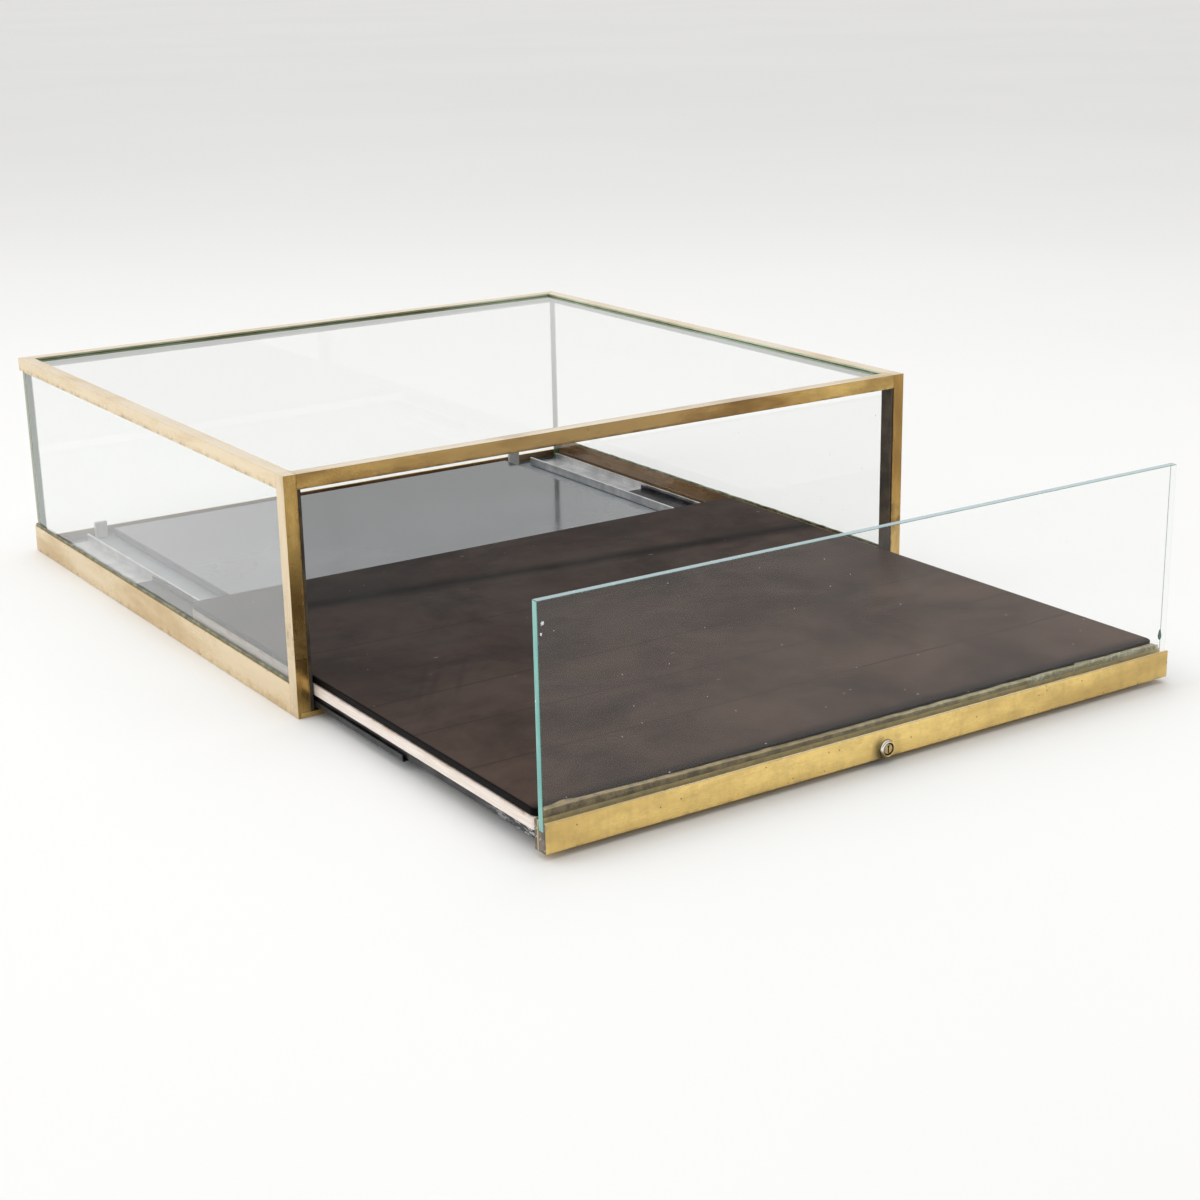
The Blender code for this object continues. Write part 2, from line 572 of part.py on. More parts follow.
def make_lock(tray, core):
    """Cam lock through the front bar. Its plug, cam and cam screw turn together on the lock's axis."""
    axis = (0, TRAY_FRONT, LOCK_HEIGHT)
    bore = PLUG_RADIUS + GAP
    barrel_end = -BAR_DEPTH - BARREL_PAST
    body = [
        (bore, 2.2 * MM), (BEZEL_RADIUS - 1.4 * MM, 2.2 * MM), (BEZEL_RADIUS - 0.3 * MM, 1.5 * MM),
        (BEZEL_RADIUS, 0.8 * MM), (BEZEL_RADIUS, GAP), (BARREL_RADIUS, GAP), (BARREL_RADIUS, barrel_end),
        (bore, barrel_end),
    ]
    turned("lock_body", body, axis, ALONG_Y, nickel, parent=tray, closed=True)

    corner = NUT_FLATS / 2 / math.cos(math.pi / 6)
    hexagon = [(corner * math.sin(turn), corner * math.cos(turn))
               for turn in (math.pi / 6 + math.pi / 3 * i for i in range(6))]
    nut_front = TRAY_FRONT + BAR_DEPTH + GAP
    sheet("lock_nut", [hexagon, circle(0, 0, BARREL_RADIUS + GAP, 32)], nut_front, nut_front + NUT_THICK,
          ALONG_Y, nickel, offset=(0, LOCK_HEIGHT), parent=tray)

    plug_end = barrel_end - 0.2 * MM
    plug = turned("lock_plug", [(0, 1.7 * MM), (PLUG_RADIUS - 0.4 * MM, 1.7 * MM), (PLUG_RADIUS, 1.3 * MM),
                                (PLUG_RADIUS, plug_end), (0, plug_end)],
                  axis, ALONG_Y, nickel, parent=core)
    across, up = KEYWAY_HALF
    keyway = cutter_box("keyway", (-across, TRAY_FRONT - KEYWAY_DEPTH / 2, LOCK_HEIGHT - up),
                        (across, TRAY_FRONT + KEYWAY_DEPTH, LOCK_HEIGHT + up))
    cut(plug, keyway)
    thread = rod("cam_screw_hole", CAM_THREAD, TRAY_FRONT + 10 * MM, TRAY_FRONT + 20 * MM,
                 (0, LOCK_HEIGHT), "y")
    cut(plug, thread)

    cam_front = TRAY_FRONT - plug_end + GAP
    cam_back = cam_front + CAM_THICK
    steps = 8
    heel = [(CAM_HALF_WIDTH * 1.25 * math.cos(turn), CAM_HALF_WIDTH * 1.25 * math.sin(turn))
            for turn in (math.radians(60 + 240 * i / steps) for i in range(steps + 1))]
    tip = [(CAM_REACH - MM, -CAM_HALF_WIDTH), (CAM_REACH, -CAM_HALF_WIDTH + MM),
           (CAM_REACH, CAM_HALF_WIDTH - MM), (CAM_REACH - MM, CAM_HALF_WIDTH)]
    sheet("lock_cam", [heel + tip, circle(0, 0, CAM_HOLE, 16)], cam_front, cam_back, ALONG_Y, zinc_steel,
          offset=(0, LOCK_HEIGHT), parent=core)

    head = cam_back + 0.2 * MM
    screw = turned("cam_screw", [(0, 1.6 * MM), (1.9 * MM, 1.6 * MM), (2.6 * MM, 1.0 * MM), (2.6 * MM, 0),
                                 (1.0 * MM, 0), (1.0 * MM, -5 * MM), (0, -5 * MM)],
                   (0, head, LOCK_HEIGHT), (math.radians(-90), 0, 0), zinc_steel, steps=20, parent=core)
    slot = cutter_box("cam_screw_slot", (-3 * MM, head + 0.9 * MM, LOCK_HEIGHT - SCREW_SLOT_HALF),
                      (3 * MM, head + 3 * MM, LOCK_HEIGHT + SCREW_SLOT_HALF))
    cut(screw, slot)


# ---- assembly

def pivot(name, location, parent=None):
    empty = bpy.data.objects.new(name, None)
    parts.objects.link(empty)
    empty.empty_display_size = 0.03
    empty.location = location
    if parent is not None:
        bpy.context.view_layer.update()
        empty.parent = parent
        empty.matrix_parent_inverse = parent.matrix_world.inverted()
    bpy.context.view_layer.update()
    return empty


def main():
    tray = pivot("tray_slide", (0, TRAY_FRONT, BAR_BOTTOM))
    core = pivot("lock_axis", (0, TRAY_FRONT, LOCK_HEIGHT), tray)
    slide_middle = HALF_WIDTH - (RUNNER_FROM + RUNNER_TO) / 2
    runners = {
        side: pivot(f"runner_{word}_slide", (side * slide_middle, FRONT - RUNNER_OUT, RUNNER_FLOOR))
        for side, word in SIDE_NAMES.items()
    }
    make_posts()
    make_top_frame()
    make_base()
    make_glass()
    make_slides(tray, runners)
    make_tray(tray)
    make_lock(tray, core)
    bpy.context.view_layer.update()


main()
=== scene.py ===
import json
import math
from contextlib import contextmanager

import bmesh
import bpy
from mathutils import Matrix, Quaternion, Vector, noise


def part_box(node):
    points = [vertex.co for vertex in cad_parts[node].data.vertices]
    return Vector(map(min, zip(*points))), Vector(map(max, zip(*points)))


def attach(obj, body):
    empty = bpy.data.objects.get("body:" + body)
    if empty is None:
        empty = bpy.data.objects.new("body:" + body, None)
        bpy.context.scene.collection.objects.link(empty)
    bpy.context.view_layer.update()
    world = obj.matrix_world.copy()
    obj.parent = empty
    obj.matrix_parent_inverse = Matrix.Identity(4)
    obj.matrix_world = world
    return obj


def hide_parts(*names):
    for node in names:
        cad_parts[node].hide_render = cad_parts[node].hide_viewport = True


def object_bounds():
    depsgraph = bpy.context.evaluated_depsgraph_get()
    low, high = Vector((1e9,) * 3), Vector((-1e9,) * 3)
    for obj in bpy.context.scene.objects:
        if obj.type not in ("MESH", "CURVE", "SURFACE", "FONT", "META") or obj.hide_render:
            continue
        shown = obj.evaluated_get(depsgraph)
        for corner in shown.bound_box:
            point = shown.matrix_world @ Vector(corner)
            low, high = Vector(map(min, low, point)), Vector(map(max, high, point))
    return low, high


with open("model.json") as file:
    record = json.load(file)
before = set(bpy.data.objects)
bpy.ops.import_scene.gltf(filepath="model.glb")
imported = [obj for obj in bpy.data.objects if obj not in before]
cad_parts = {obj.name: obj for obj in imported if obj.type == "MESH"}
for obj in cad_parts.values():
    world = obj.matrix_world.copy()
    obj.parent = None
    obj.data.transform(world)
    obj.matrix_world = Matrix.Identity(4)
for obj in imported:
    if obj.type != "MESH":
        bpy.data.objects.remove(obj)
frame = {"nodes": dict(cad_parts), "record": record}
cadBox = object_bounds()
print("frame loaded,", len(frame["nodes"]), "nodes")

mm = 0.001
sides = {"left": -1, "right": 1}
bodyOf = {node: body for body, nodes in frame["record"]["behaviour"]["bodies"].items() for node in nodes}

cameraPlace = {
    "at": (-0.938, -1.686, 0.569), "towards": (0.5223, 0.7979, -0.3009),
    "roll": -1.152,  # degrees
    "lens": 63.9, "nearest": 0.05,
}


def addCamera():
    bpy.ops.object.camera_add(location=cameraPlace["at"])
    camera = bpy.context.active_object
    camera.data.lens = cameraPlace["lens"]
    camera.data.clip_start = cameraPlace["nearest"]
    camera.rotation_mode = "QUATERNION"
    looking = Vector(cameraPlace["towards"]).to_track_quat("-Z", "Y")
    camera.rotation_quaternion = looking @ Quaternion((0, 0, 1), math.radians(cameraPlace["roll"]))
    bpy.context.scene.camera = camera
    bpy.context.scene.view_settings.view_transform = "Standard"


class Value:  # wraps a socket: sums on it add Math nodes
    def __init__(self, finish, socket):
        self.finish = finish
        self.socket = socket

    def __add__(self, other):
        return self.finish.math("ADD", self, other)

    def __sub__(self, other):
        return self.finish.math("SUBTRACT", self, other)

    def __rsub__(self, other):
        return self.finish.math("SUBTRACT", other, self)

    def __mul__(self, other):
        return self.finish.math("MULTIPLY", self, other)

    def __truediv__(self, other):
        return self.finish.math("DIVIDE", self, other)

    def __pow__(self, other):
        return self.finish.math("POWER", self, other)

    __radd__ = __add__
    __rmul__ = __mul__

    def size(self):
        return self.finish.math("ABSOLUTE", self)

    def most(self, other):
        return self.finish.math("MAXIMUM", self, other)

    def between(self, low, high):  # 0 below low, 1 above high, eased
        return self.finish.add("ShaderNodeMapRange", {"interpolation_type": "SMOOTHSTEP"},
                               {"Value": self, "From Min": low, "From Max": high})

    def near(self, where, reach):  # 1 at where, 0 from reach away
        return 1 - ((self - where).size() / reach).between(0, 1)


class Finish:  # a material, or another node tree, and what fills it
    def __init__(self, name, tree=None):
        if tree is None:
            self.material = bpy.data.materials.new(name)
            self.material.use_nodes = True
            tree = self.material.node_tree
        self.tree = tree
        self.tree.nodes.clear()

    def add(self, kind, settings=None, sockets=None, out=0):
        made = self.tree.nodes.new(kind)
        for key, setting in (settings or {}).items():
            setattr(made, key, setting)
        for key, value in (sockets or {}).items():
            if isinstance(value, Value):
                self.tree.links.new(value.socket, made.inputs[key])
            else:
                made.inputs[key].default_value = value
        return Value(self, made.outputs[out]) if made.outputs else None

    def math(self, operation, *values):
        return self.add("ShaderNodeMath", {"operation": operation}, dict(enumerate(values)))

    def place(self, stretch=(1, 1, 1), shift=(0, 0, 0)):
        spot = self.add("ShaderNodeTexCoord", out="Object")
        return self.add("ShaderNodeMapping", None, {"Vector": spot, "Scale": stretch, "Location": shift})

    def parts(self, vector):
        split = self.add("ShaderNodeSeparateXYZ", None, {0: vector})
        return [Value(self, output) for output in split.socket.node.outputs]

    def axes(self):  # how far along x, y and z
        return self.parts(self.place())

    def normals(self):
        return self.parts(self.add("ShaderNodeTexCoord", out="Normal"))

    def distance(self, across, up):
        return self.math("SQRT", across * across + up * up)

    def clouds(self, place, scale, detail=4, roughness=0.55, distortion=0.0):
        return self.add("ShaderNodeTexNoise", None, {
            "Vector": place, "Scale": scale, "Detail": detail, "Roughness": roughness,
            "Distortion": distortion})

    def specks(self, scale, radius, share, stretch=1):  # round spots of that radius, in a share of the cells
        x, y, z = self.axes()
        flat = self.add("ShaderNodeCombineXYZ", None, {0: stretch * x + 0.37 * z, 1: y + 0.83 * z})
        cell = self.add("ShaderNodeTexVoronoi", {"voronoi_dimensions": "2D"},
                        {"Vector": flat, "Scale": scale}, "Distance")
        chance = self.parts(Value(self, cell.socket.node.outputs["Color"]))[0]
        spot = 1 - cell.between(radius * scale * 0.6, radius * scale)
        return spot * (1 - chance.between(share, share + 0.01))

    def blend(self, factor, first, second):
        sockets = {0: factor}
        for key, colour in ((6, first), (7, second)):
            sockets[key] = colour if isinstance(colour, Value) else (*colour, 1)
        return self.add("ShaderNodeMix", {"data_type": "RGBA"}, sockets, 2)

    def bump(self, height, distance, strength=1.0):
        return self.add("ShaderNodeBump", None,
                        {"Height": height, "Distance": distance, "Strength": strength})

    def mixShader(self, factor, first, second):
        return self.add("ShaderNodeMixShader", None, {0: factor, 1: first, 2: second})

    def show(self, shader):
        self.add("ShaderNodeOutputMaterial", None, {"Surface": shader})
        return self

    def principled(self, base, roughness, normal=None, fixed=None):
        sockets = {"Base Color": base, "Roughness": roughness, **(fixed or {})}
        if normal is not None:
            sockets["Normal"] = normal
        return self.add("ShaderNodeBsdfPrincipled", None, sockets)


studioLook = {"dim": 0.30, "bright": 0.92, "above": 0.30, "horizon": 0.85, "tint": (1.0, 0.995, 0.985)}


def studio():
    world = bpy.data.worlds.new("studio")
    world.use_nodes = True
    bpy.context.scene.world = world
    sky = Finish("studio", world.node_tree)
    x, y, z = sky.parts(sky.add("ShaderNodeTexCoord", out="Generated"))
    behind = (y - 0.45 * x).between(-0.75, 0.55)
    glow = studioLook["dim"] + (studioLook["bright"] - studioLook["dim"]) * behind
    glow = glow + studioLook["above"] * z.between(0.2, 1.0)
    glow = glow + (studioLook["horizon"] - glow) * z.near(0.0, 0.22)  # an even pale band at the horizon
    lamp = sky.add("ShaderNodeBackground", None, {"Color": (*studioLook["tint"], 1), "Strength": glow})
    sky.add("ShaderNodeOutputWorld", None, {"Surface": lamp})


lampPlaces = {  # (place, aimed at, width, height, watts)
    "window": ((-2.6, 1.3, 1.7), (0, -0.1, 0), 2.4, 1.8, 24),
    "ceiling": ((0.4, -0.2, 2.6), (0, -0.2, 0), 2.6, 2.6, 20),
    "front": ((1.6, -2.9, 1.5), (0, -0.4, 0.05), 1.2, 1.0, 7),
}


def lamps():
    for name, (place, aim, width, height, watts) in lampPlaces.items():
        bpy.ops.object.light_add(type="AREA", location=place)
        lamp = bpy.context.active_object
        lamp.name = name
        lamp.data.shape = "RECTANGLE"
        lamp.data.size, lamp.data.size_y = width, height
        lamp.data.energy = watts
        lamp.visible_glossy = name == "window"  # the others would show as hard panels in the panes
        lamp.rotation_euler = (Vector(aim) - Vector(place)).to_track_quat("-Z", "Y").to_euler()


floorLook = {
    "size": 70, "below": 0.2 * mm, "tones": ((0.86, 0.86, 0.855), (0.88, 0.88, 0.875)), "rough": 0.6,
}


def floor():
    bpy.ops.mesh.primitive_plane_add(size=floorLook["size"], location=(0, 0, -floorLook["below"]))
    ground = bpy.context.active_object
    ground.name = "floor"
    paint = Finish("paleFloor")
    grain = paint.clouds(paint.place(), 0.7, 3).between(0.3, 0.7)
    base = paint.blend(grain, *floorLook["tones"])
    ground.data.materials.append(paint.show(paint.principled(base, floorLook["rough"])).material)


addCamera()
studio()
lamps()
floor()
print("studio ready")


def alone(piece):
    bpy.ops.object.select_all(action="DESELECT")
    piece.select_set(True)
    bpy.context.view_layer.objects.active = piece


def block(name, low, high):
    bpy.ops.mesh.primitive_cube_add(size=1, location=[(a + b) / 2 for a, b in zip(low, high)])
    piece = bpy.context.active_object
    piece.name = piece.data.name = name
    piece.scale = [b - a for a, b in zip(low, high)]
    bpy.ops.object.transform_apply(location=True, rotation=True, scale=True)
    return piece


@contextmanager
def editing(piece, kind="FACE"):
    alone(piece)
    bpy.ops.object.mode_set(mode="EDIT")
    bpy.ops.mesh.select_mode(type=kind)
    bpy.ops.mesh.select_all(action="DESELECT")
    yield
    bpy.ops.object.mode_set(mode="OBJECT")


def pieceName(node):  # slide_screw_left_1 becomes slideScrewLeft1
    first, *rest = node.split("_")
    return first + "".join(word.title() for word in rest)


def fromNode(node):  # a merged copy of a CAD node, to be finished here
    piece = bpy.data.objects.new(pieceName(node), frame["nodes"][node].data.copy())
    piece.data.name = piece.name
    piece.data.materials.clear()
    bpy.context.scene.collection.objects.link(piece)
    with editing(piece, "VERT"):
        bpy.ops.mesh.select_all(action="SELECT")
        bpy.ops.mesh.customdata_custom_splitnormals_clear()
        bpy.ops.mesh.remove_doubles(threshold=0.001 * mm)
        bpy.ops.mesh.dissolve_limited(angle_limit=math.radians(1))
        bpy.ops.mesh.normals_make_consistent(inside=False)
    return piece


def pickFaces(piece, test):
    bpy.ops.mesh.select_all(action="DESELECT")
    shape = bmesh.from_edit_mesh(piece.data)
    for face in shape.faces:
        if test(face.calc_center_median(), face.normal):
            face.select_set(True)
    bmesh.update_edit_mesh(piece.data)


def pickEdges(piece, test):
    bpy.ops.mesh.select_all(action="DESELECT")
    shape = bmesh.from_edit_mesh(piece.data)
    for edge in shape.edges:
        if test(*[vertex.co for vertex in edge.verts]):
            edge.select_set(True)
    bmesh.update_edit_mesh(piece.data)


def roundCorners(piece, radius, segments):  # the upright edges of a flat sheet
    pickEdges(piece, lambda a, b: abs(a.z - b.z) > mm)
    bpy.ops.mesh.bevel(offset=radius, segments=segments, affect="EDGES")


def push(*value):
    bpy.ops.mesh.extrude_region_move(TRANSFORM_OT_translate={"value": value})


def cutAt(where, across, drop=False):
    bpy.ops.mesh.select_all(action="SELECT")
    bpy.ops.mesh.bisect(plane_co=where, plane_no=across, clear_outer=drop, use_fill=drop)


def cutAlong(axis, low, high, count):  # even cuts across a long piece
    across = Vector([float(axis == each) for each in range(3)])
    for step in range(1, count):
        cutAt(across * (low + (high - low) * step / count), across)


def carve(piece, cutter):
    alone(piece)
    away = piece.modifiers.new("cut away", "BOOLEAN")
    away.object = cutter
    bpy.ops.object.modifier_apply(modifier=away.name)
    bpy.data.objects.remove(cutter, do_unlink=True)


def sway(piece, amount, pitch, hold=lambda spot: 1.0):  # uneven by hand, and still inside the case's box
    for vertex in piece.data.vertices:
        spot = vertex.co + noise.noise_vector(vertex.co / pitch) * amount * hold(vertex.co)
        vertex.co = [min(max(at, low), high) for at, low, high in zip(spot, *cadBox)]


def soften(piece, width, segments=2, angle=30):
    alone(piece)
    bpy.ops.object.shade_smooth()
    edges = piece.modifiers.new("soft edges", "BEVEL")
    edges.width = width
    edges.segments = segments
    edges.limit_method = "ANGLE"
    edges.angle_limit = math.radians(angle)
    bpy.ops.object.modifier_apply(modifier=edges.name)
    flats = piece.modifiers.new("flat faces", "WEIGHTED_NORMAL")
    flats.keep_sharp = True
    bpy.ops.object.modifier_apply(modifier=flats.name)
    return piece


def install(piece, finishes, *nodes, body=None, slot=None):
    for finish in finishes:
        piece.data.materials.append(finish.material)
    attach(piece, body or bodyOf[nodes[0]])
    if nodes:
        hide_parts(*nodes)


# the pale tone is painted light, for the brass faces turned up or outwards
brassTones = {
    "bright": (0.99, 0.73, 0.27), "worn": (0.88, 0.60, 0.20), "deep": (0.40, 0.215, 0.055),
    "brown": (0.13, 0.08, 0.035), "olive": (0.38, 0.28, 0.12), "pale": (0.86, 0.745, 0.575),
    # the last, darkest tone here is the painted shadow round the lock, also used for its scratches
    "stripe": (0.62, 0.42, 0.16), "dull": (0.15, 0.11, 0.10), "grime": (0.07, 0.055, 0.03),
    "fleck": (0.62, 0.55, 0.45),
}
oxideTones = ((0.12, 0.10, 0.085), (0.24, 0.20, 0.17))
slotWallTones = ((0.78, 0.62, 0.30), (0.60, 0.50, 0.26))
# tones painted on brass faces turned into the case: shade, with paler reflected light
insideShadeTones = ((0.24, 0.27, 0.14), (0.62, 0.70, 0.52))
shadeTones = ((0.15, 0.082, 0.035), (0.33, 0.19, 0.09))


# Each brass look holds along (its long axis), patina, seed and edges. The rest is optional.

def brassBase(finish, look, axes, blotch, mottle, brushed):
    base = finish.blend(blotch, brassTones["bright"], brassTones["worn"])
    deep = look.get("deep", 0.0) * (0.65 + 0.35 * blotch)
    if "fade" in look:  # lighter towards its right end
        deep = deep * (1 - 0.55 * axes[look["along"]].between(*look["fade"]))
    base = finish.blend(deep, base, brassTones["deep"])
    if "dull" in look:  # browner and greyer about its middle
        dull = 0.42 * axes[look["along"]].near(*look["dull"])
        base = finish.blend(dull, base, brassTones["dull"])
    if "cloudy" in look:  # faint stripes across the piece
        across = finish.clouds(finish.place((75, 8, 8), (2, 0, 0)), 1.0, 3, 0.5, 0.5).between(0.48, 0.70)
        base = finish.blend(look["cloudy"] * across, base, brassTones["stripe"])
    worn = 0.20 * mottle + 0.16 * brushed.between(0.5, 0.75)
    return finish.blend(worn, base, brassTones["olive"])


def paintedInsideFaces(finish, look, spot, base, metal):  # painted shade and reflection on the faces turned into the case, tinted as seen through the glass, and made less metallic
    facing = finish.normals()
    for axis, towards, pitch in look.get("paintedInside", ()):
        paintedInside = (towards * facing[axis]).between(0.6, 0.95)
        streak = finish.clouds(spot, pitch, 4, 0.6).between(0.35, 0.65)
        base = finish.blend(paintedInside, base, finish.blend(streak, *look.get("bond", insideShadeTones)))
        metal = metal * (1 - 0.8 * paintedInside)
    return base, metal


def sawnEnds(finish, look, axes, mottle, base, rough, metal):  # bare ends gone grey-brown
    for axis, where, reach in look.get("oxide", ()):
        oxide = axes[axis].near(where, reach).between(0.1, 0.6)
        fleck = finish.specks(420, 0.5 * mm, 0.22)
        grey = finish.blend(mottle, *oxideTones)
        base = finish.blend(oxide, base, finish.blend(fleck, grey, brassTones["fleck"]))
        metal = metal * (1 - 0.7 * oxide)
        rough = rough + 0.2 * oxide
    return base, rough, metal


def lockShadowAndScratches(finish, centre, axes, mottle, base, rough):  # painted shadow round the lock, darkest to its lower left, and key scratches
    across, up = axes[0] - centre[0], axes[2] - centre[1]
    away = finish.distance(across, up)
    low = 1 - ((across + 0.6 * up) / (10 * mm)).between(-0.9, 0.5)
    paintedShadow = away.near(7.6 * mm, 8.5 * mm) * (0.2 + 0.8 * low) * (0.85 + 0.15 * mottle)
    scratch = away.near(9.6 * mm, 0.35 * mm) * up.between(3 * mm, 6 * mm) * mottle.between(0.2, 0.5)
    base = finish.blend((paintedShadow * 0.95).most(scratch * 0.8), base, brassTones["grime"])
    return base, rough + 0.2 * paintedShadow


def brassFinish(name, look):
    finish = Finish(name)
    seed, along = look["seed"], look["along"]
    axes, facing = finish.axes(), finish.normals()
    spot = finish.place(shift=(seed, 0, 0))
    grain, drift = [1400, 1400, 1400], [26, 26, 26]
    grain[along], drift[along] = 18, 7
    blotch = finish.clouds(finish.place(tuple(drift), (seed, 0, 0)), 1.0, 6, 0.6).between(0.38, 0.72)
    mottle = finish.clouds(spot, 120, 5, 0.65).between(0.42, 0.68)
    brushed = finish.clouds(finish.place(tuple(grain)), 1.0, 3, 0.6)
    pits = finish.specks(110, 0.7 * mm, 0.09)
    tarnish = look["patina"] * blotch
    # darker towards the listed edges: patina, and at the lower edges also painted shade
    for axis, where, reach in look["edges"]:
        tarnish = tarnish.most(axes[axis].near(where, reach) * (0.25 + 0.75 * mottle))
    base = brassBase(finish, look, axes, blotch, mottle, brushed)
    base = finish.blend(tarnish * 0.8, base, look.get("tarnish", brassTones["brown"]))
    # paler on the faces turned up or outwards: painted highlight where the lamps fall
    for axis, towards, amount in look.get("pale", ()):
        paintedLitFaces = (towards * facing[axis]).between(0.6, 0.95) * (1 - 0.65 * tarnish) * (1 - 0.40 * blotch)
        base = finish.blend(paintedLitFaces * amount, base, brassTones["pale"])
    base = finish.blend(pits * 0.7, base, brassTones["brown"])
    rough = 0.17 + 0.10 * blotch + 0.10 * brushed + 0.25 * tarnish
    metal = 1 - 0.35 * tarnish
    base, metal = paintedInsideFaces(finish, look, spot, base, metal)
    base, rough, metal = sawnEnds(finish, look, axes, mottle, base, rough, metal)
    if "glued" in look:  # the slot's far wall, pale gold and matt: old adhesive, and painted light over the shade in the slot
        glued = axes[1].near(look["glued"], 0.9 * mm)
        base = finish.blend(glued, base, finish.blend(mottle, *slotWallTones))
        metal = metal * (1 - 0.9 * glued)
    if "lock" in look:
        base, rough = lockShadowAndScratches(finish, look["lock"], axes, mottle, base, rough)
    normal = finish.bump(0.35 * brushed + 0.5 * mottle - pits, 0.04 * mm, 0.45)
    return finish.show(finish.principled(base, rough, normal, {"Metallic": metal}))


frameShape = {
    "soft": 0.35 * mm, "wave": 0.10 * mm, "pitch": 45 * mm, "wall": 2 * mm, "seam": 0.06 * mm,
    "meet": 0.24 * mm,  # how far an end reaches to meet the next piece
    # the posts are also darker about the last height here
    "cuts": 26, "postCuts": 10, "postDarkAt": 62 * mm,
}


def longPiece(piece, axis, count=frameShape["cuts"]):  # drawn bar, a little uneven, with its arrises broken
    low, high = piece.bound_box[0][axis], piece.bound_box[6][axis]
    with editing(piece, "VERT"):
        cutAlong(axis, low, high, count)
    sway(piece, frameShape["wave"], frameShape["pitch"])
    return soften(piece, frameShape["soft"])


def topRails():
    low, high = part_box("top_rail_front")
    wall, seam, meet = frameShape["wall"], frameShape["seam"], frameShape["meet"]
    half, back = cadBox[1].x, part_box("top_rail_back")[1].y
    leg, under = high.z - low.z, low.z - wall
    roof = high.z - wall
    front = block("topRailFront", (low.x - meet, low.y, low.z), (high.x + meet, low.y + leg, high.z))
    carve(front, block("hollow", (-half, low.y + wall, under), (half, low.y + 2 * leg, roof)))
    look = {"along": 0, "patina": 0.62, "seed": 0.3, "deep": 1.1, "fade": (0.14, 0.29),
            "dull": (-0.04, 0.30), "edges": [(2, low.z, 3.0 * mm)], "pale": [(2, 1, 0.95)],
            "paintedInside": [(1, 1, 9)]}
    install(longPiece(front, 0), [brassFinish("brassTopFront", look)], "top_rail_front")

    rear = block("topRailBack", (-half, back - leg, low.z), (half, back, high.z))
    carve(rear, block("hollow", (-2 * half, back - 2 * leg, under), (2 * half, back - wall, roof)))
    with editing(rear):
        for side in sides.values():  # mitred
            cutAt((side * (half - seam), back, 0), (side, -1, 0), drop=True)
    look = {"along": 0, "patina": 0.2, "seed": 1.7, "deep": 0.5, "edges": [(2, low.z, 2 * mm)],
            "pale": [(2, 1, 0.9)], "paintedInside": [(1, -1, 6)]}
    install(longPiece(rear, 0), [brassFinish("brassTopBack", look)], "top_rail_back")

    for word, side in sides.items():
        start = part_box(f"top_rail_{word}")[0].y - meet
        across = sorted((side * half, side * (half - leg)))
        rail = block(f"topRail{word.title()}", (across[0], start, low.z), (across[1], back, high.z))
        across = sorted((side * (half - 2 * leg), side * (half - wall)))
        carve(rail, block("hollow", (across[0], start - wall, under), (across[1], back + wall, roof)))
        with editing(rail):
            cutAt((side * (half + seam), back, 0), (-side, 1, 0), drop=True)
        look = {"along": 1, "patina": 0.28, "seed": 2.9 + side, "deep": 0.5, "edges": [(2, low.z, 6 * mm)],
                "pale": [(2, 1, 0.95), (0, side, 0.78)], "paintedInside": [(0, -side, 7)]}
        install(longPiece(rail, 1), [brassFinish(f"brassTop{word.title()}", look)], f"top_rail_{word}")


def posts():
    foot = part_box("front_threshold")[1].z + 0.1 * mm
    wall = frameShape["wall"]
    for word, side in sides.items():
        node = f"front_post_{word}"
        low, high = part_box(node)
        outer, inner = (low.x, high.x) if side < 0 else (high.x, low.x)
        hollow = sorted((outer - side * wall, inner - side * wall))
        under = low.z - wall
        post = block(pieceName(node), low, high)
        carve(post, block("hollow", (hollow[0], low.y + wall, under),
                          (hollow[1], high.y + wall, high.z - wall)))
        carve(post, block("foot", (hollow[0], low.y - wall, under),
                          (hollow[1], low.y + wall + 0.2 * mm, foot)))
        look = {"along": 2, "patina": 0.40, "seed": 4.1 + side, "deep": 0.95,
                "edges": [(0, inner, 2.4 * mm), (2, low.z, 9 * mm), (2, frameShape["postDarkAt"], 26 * mm)],
                "pale": [(0, side, 0.72), (2, 1, 0.95)]}
        install(longPiece(post, 2, frameShape["postCuts"]), [brassFinish(f"brassPost{word.title()}", look)],
                node)


def baseBars():
    for word, side in sides.items():
        node = f"bottom_rail_{word}"
        low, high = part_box(node)
        low.y -= frameShape["meet"]
        look = {"along": 1, "patina": 0.40, "seed": 6.3 + side, "deep": 0.6,
                "edges": [(2, 0, 10 * mm), (2, high.z, 1.2 * mm)], "tarnish": brassTones["olive"],
                "pale": [(0, side, 0.72)], "paintedInside": [(0, -side, 8)], "bond": shadeTones}
        bar = longPiece(block(f"sideBar{word.title()}", low, high), 1)
        install(bar, [brassFinish(f"brassBar{word.title()}", look)], node)
    bar = longPiece(block("backBar", *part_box("bottom_rail_back")), 0)
    look = {"along": 0, "patina": 0.35, "seed": 8.8, "edges": [(2, 0, 2.5 * mm)], "paintedInside": [(1, -1, 8)],
            "bond": shadeTones}
    install(bar, [brassFinish("brassBarBack", look)], "bottom_rail_back")
    threshold = soften(fromNode("front_threshold"), 0.3 * mm)
    look = {"along": 0, "patina": 0.6, "seed": 9.4, "edges": []}
    install(threshold, [brassFinish("brassThreshold", look)], "front_threshold")


topRails()
posts()
baseBars()
print("brass frame done")


barShape = {
    "lip": 2.2 * mm, "slot": 6.6 * mm, "slotFloor": 18.2 * mm, "soft": 0.4 * mm,
    "lockHole": 5.5 * mm, "drill": 50 * mm,
}


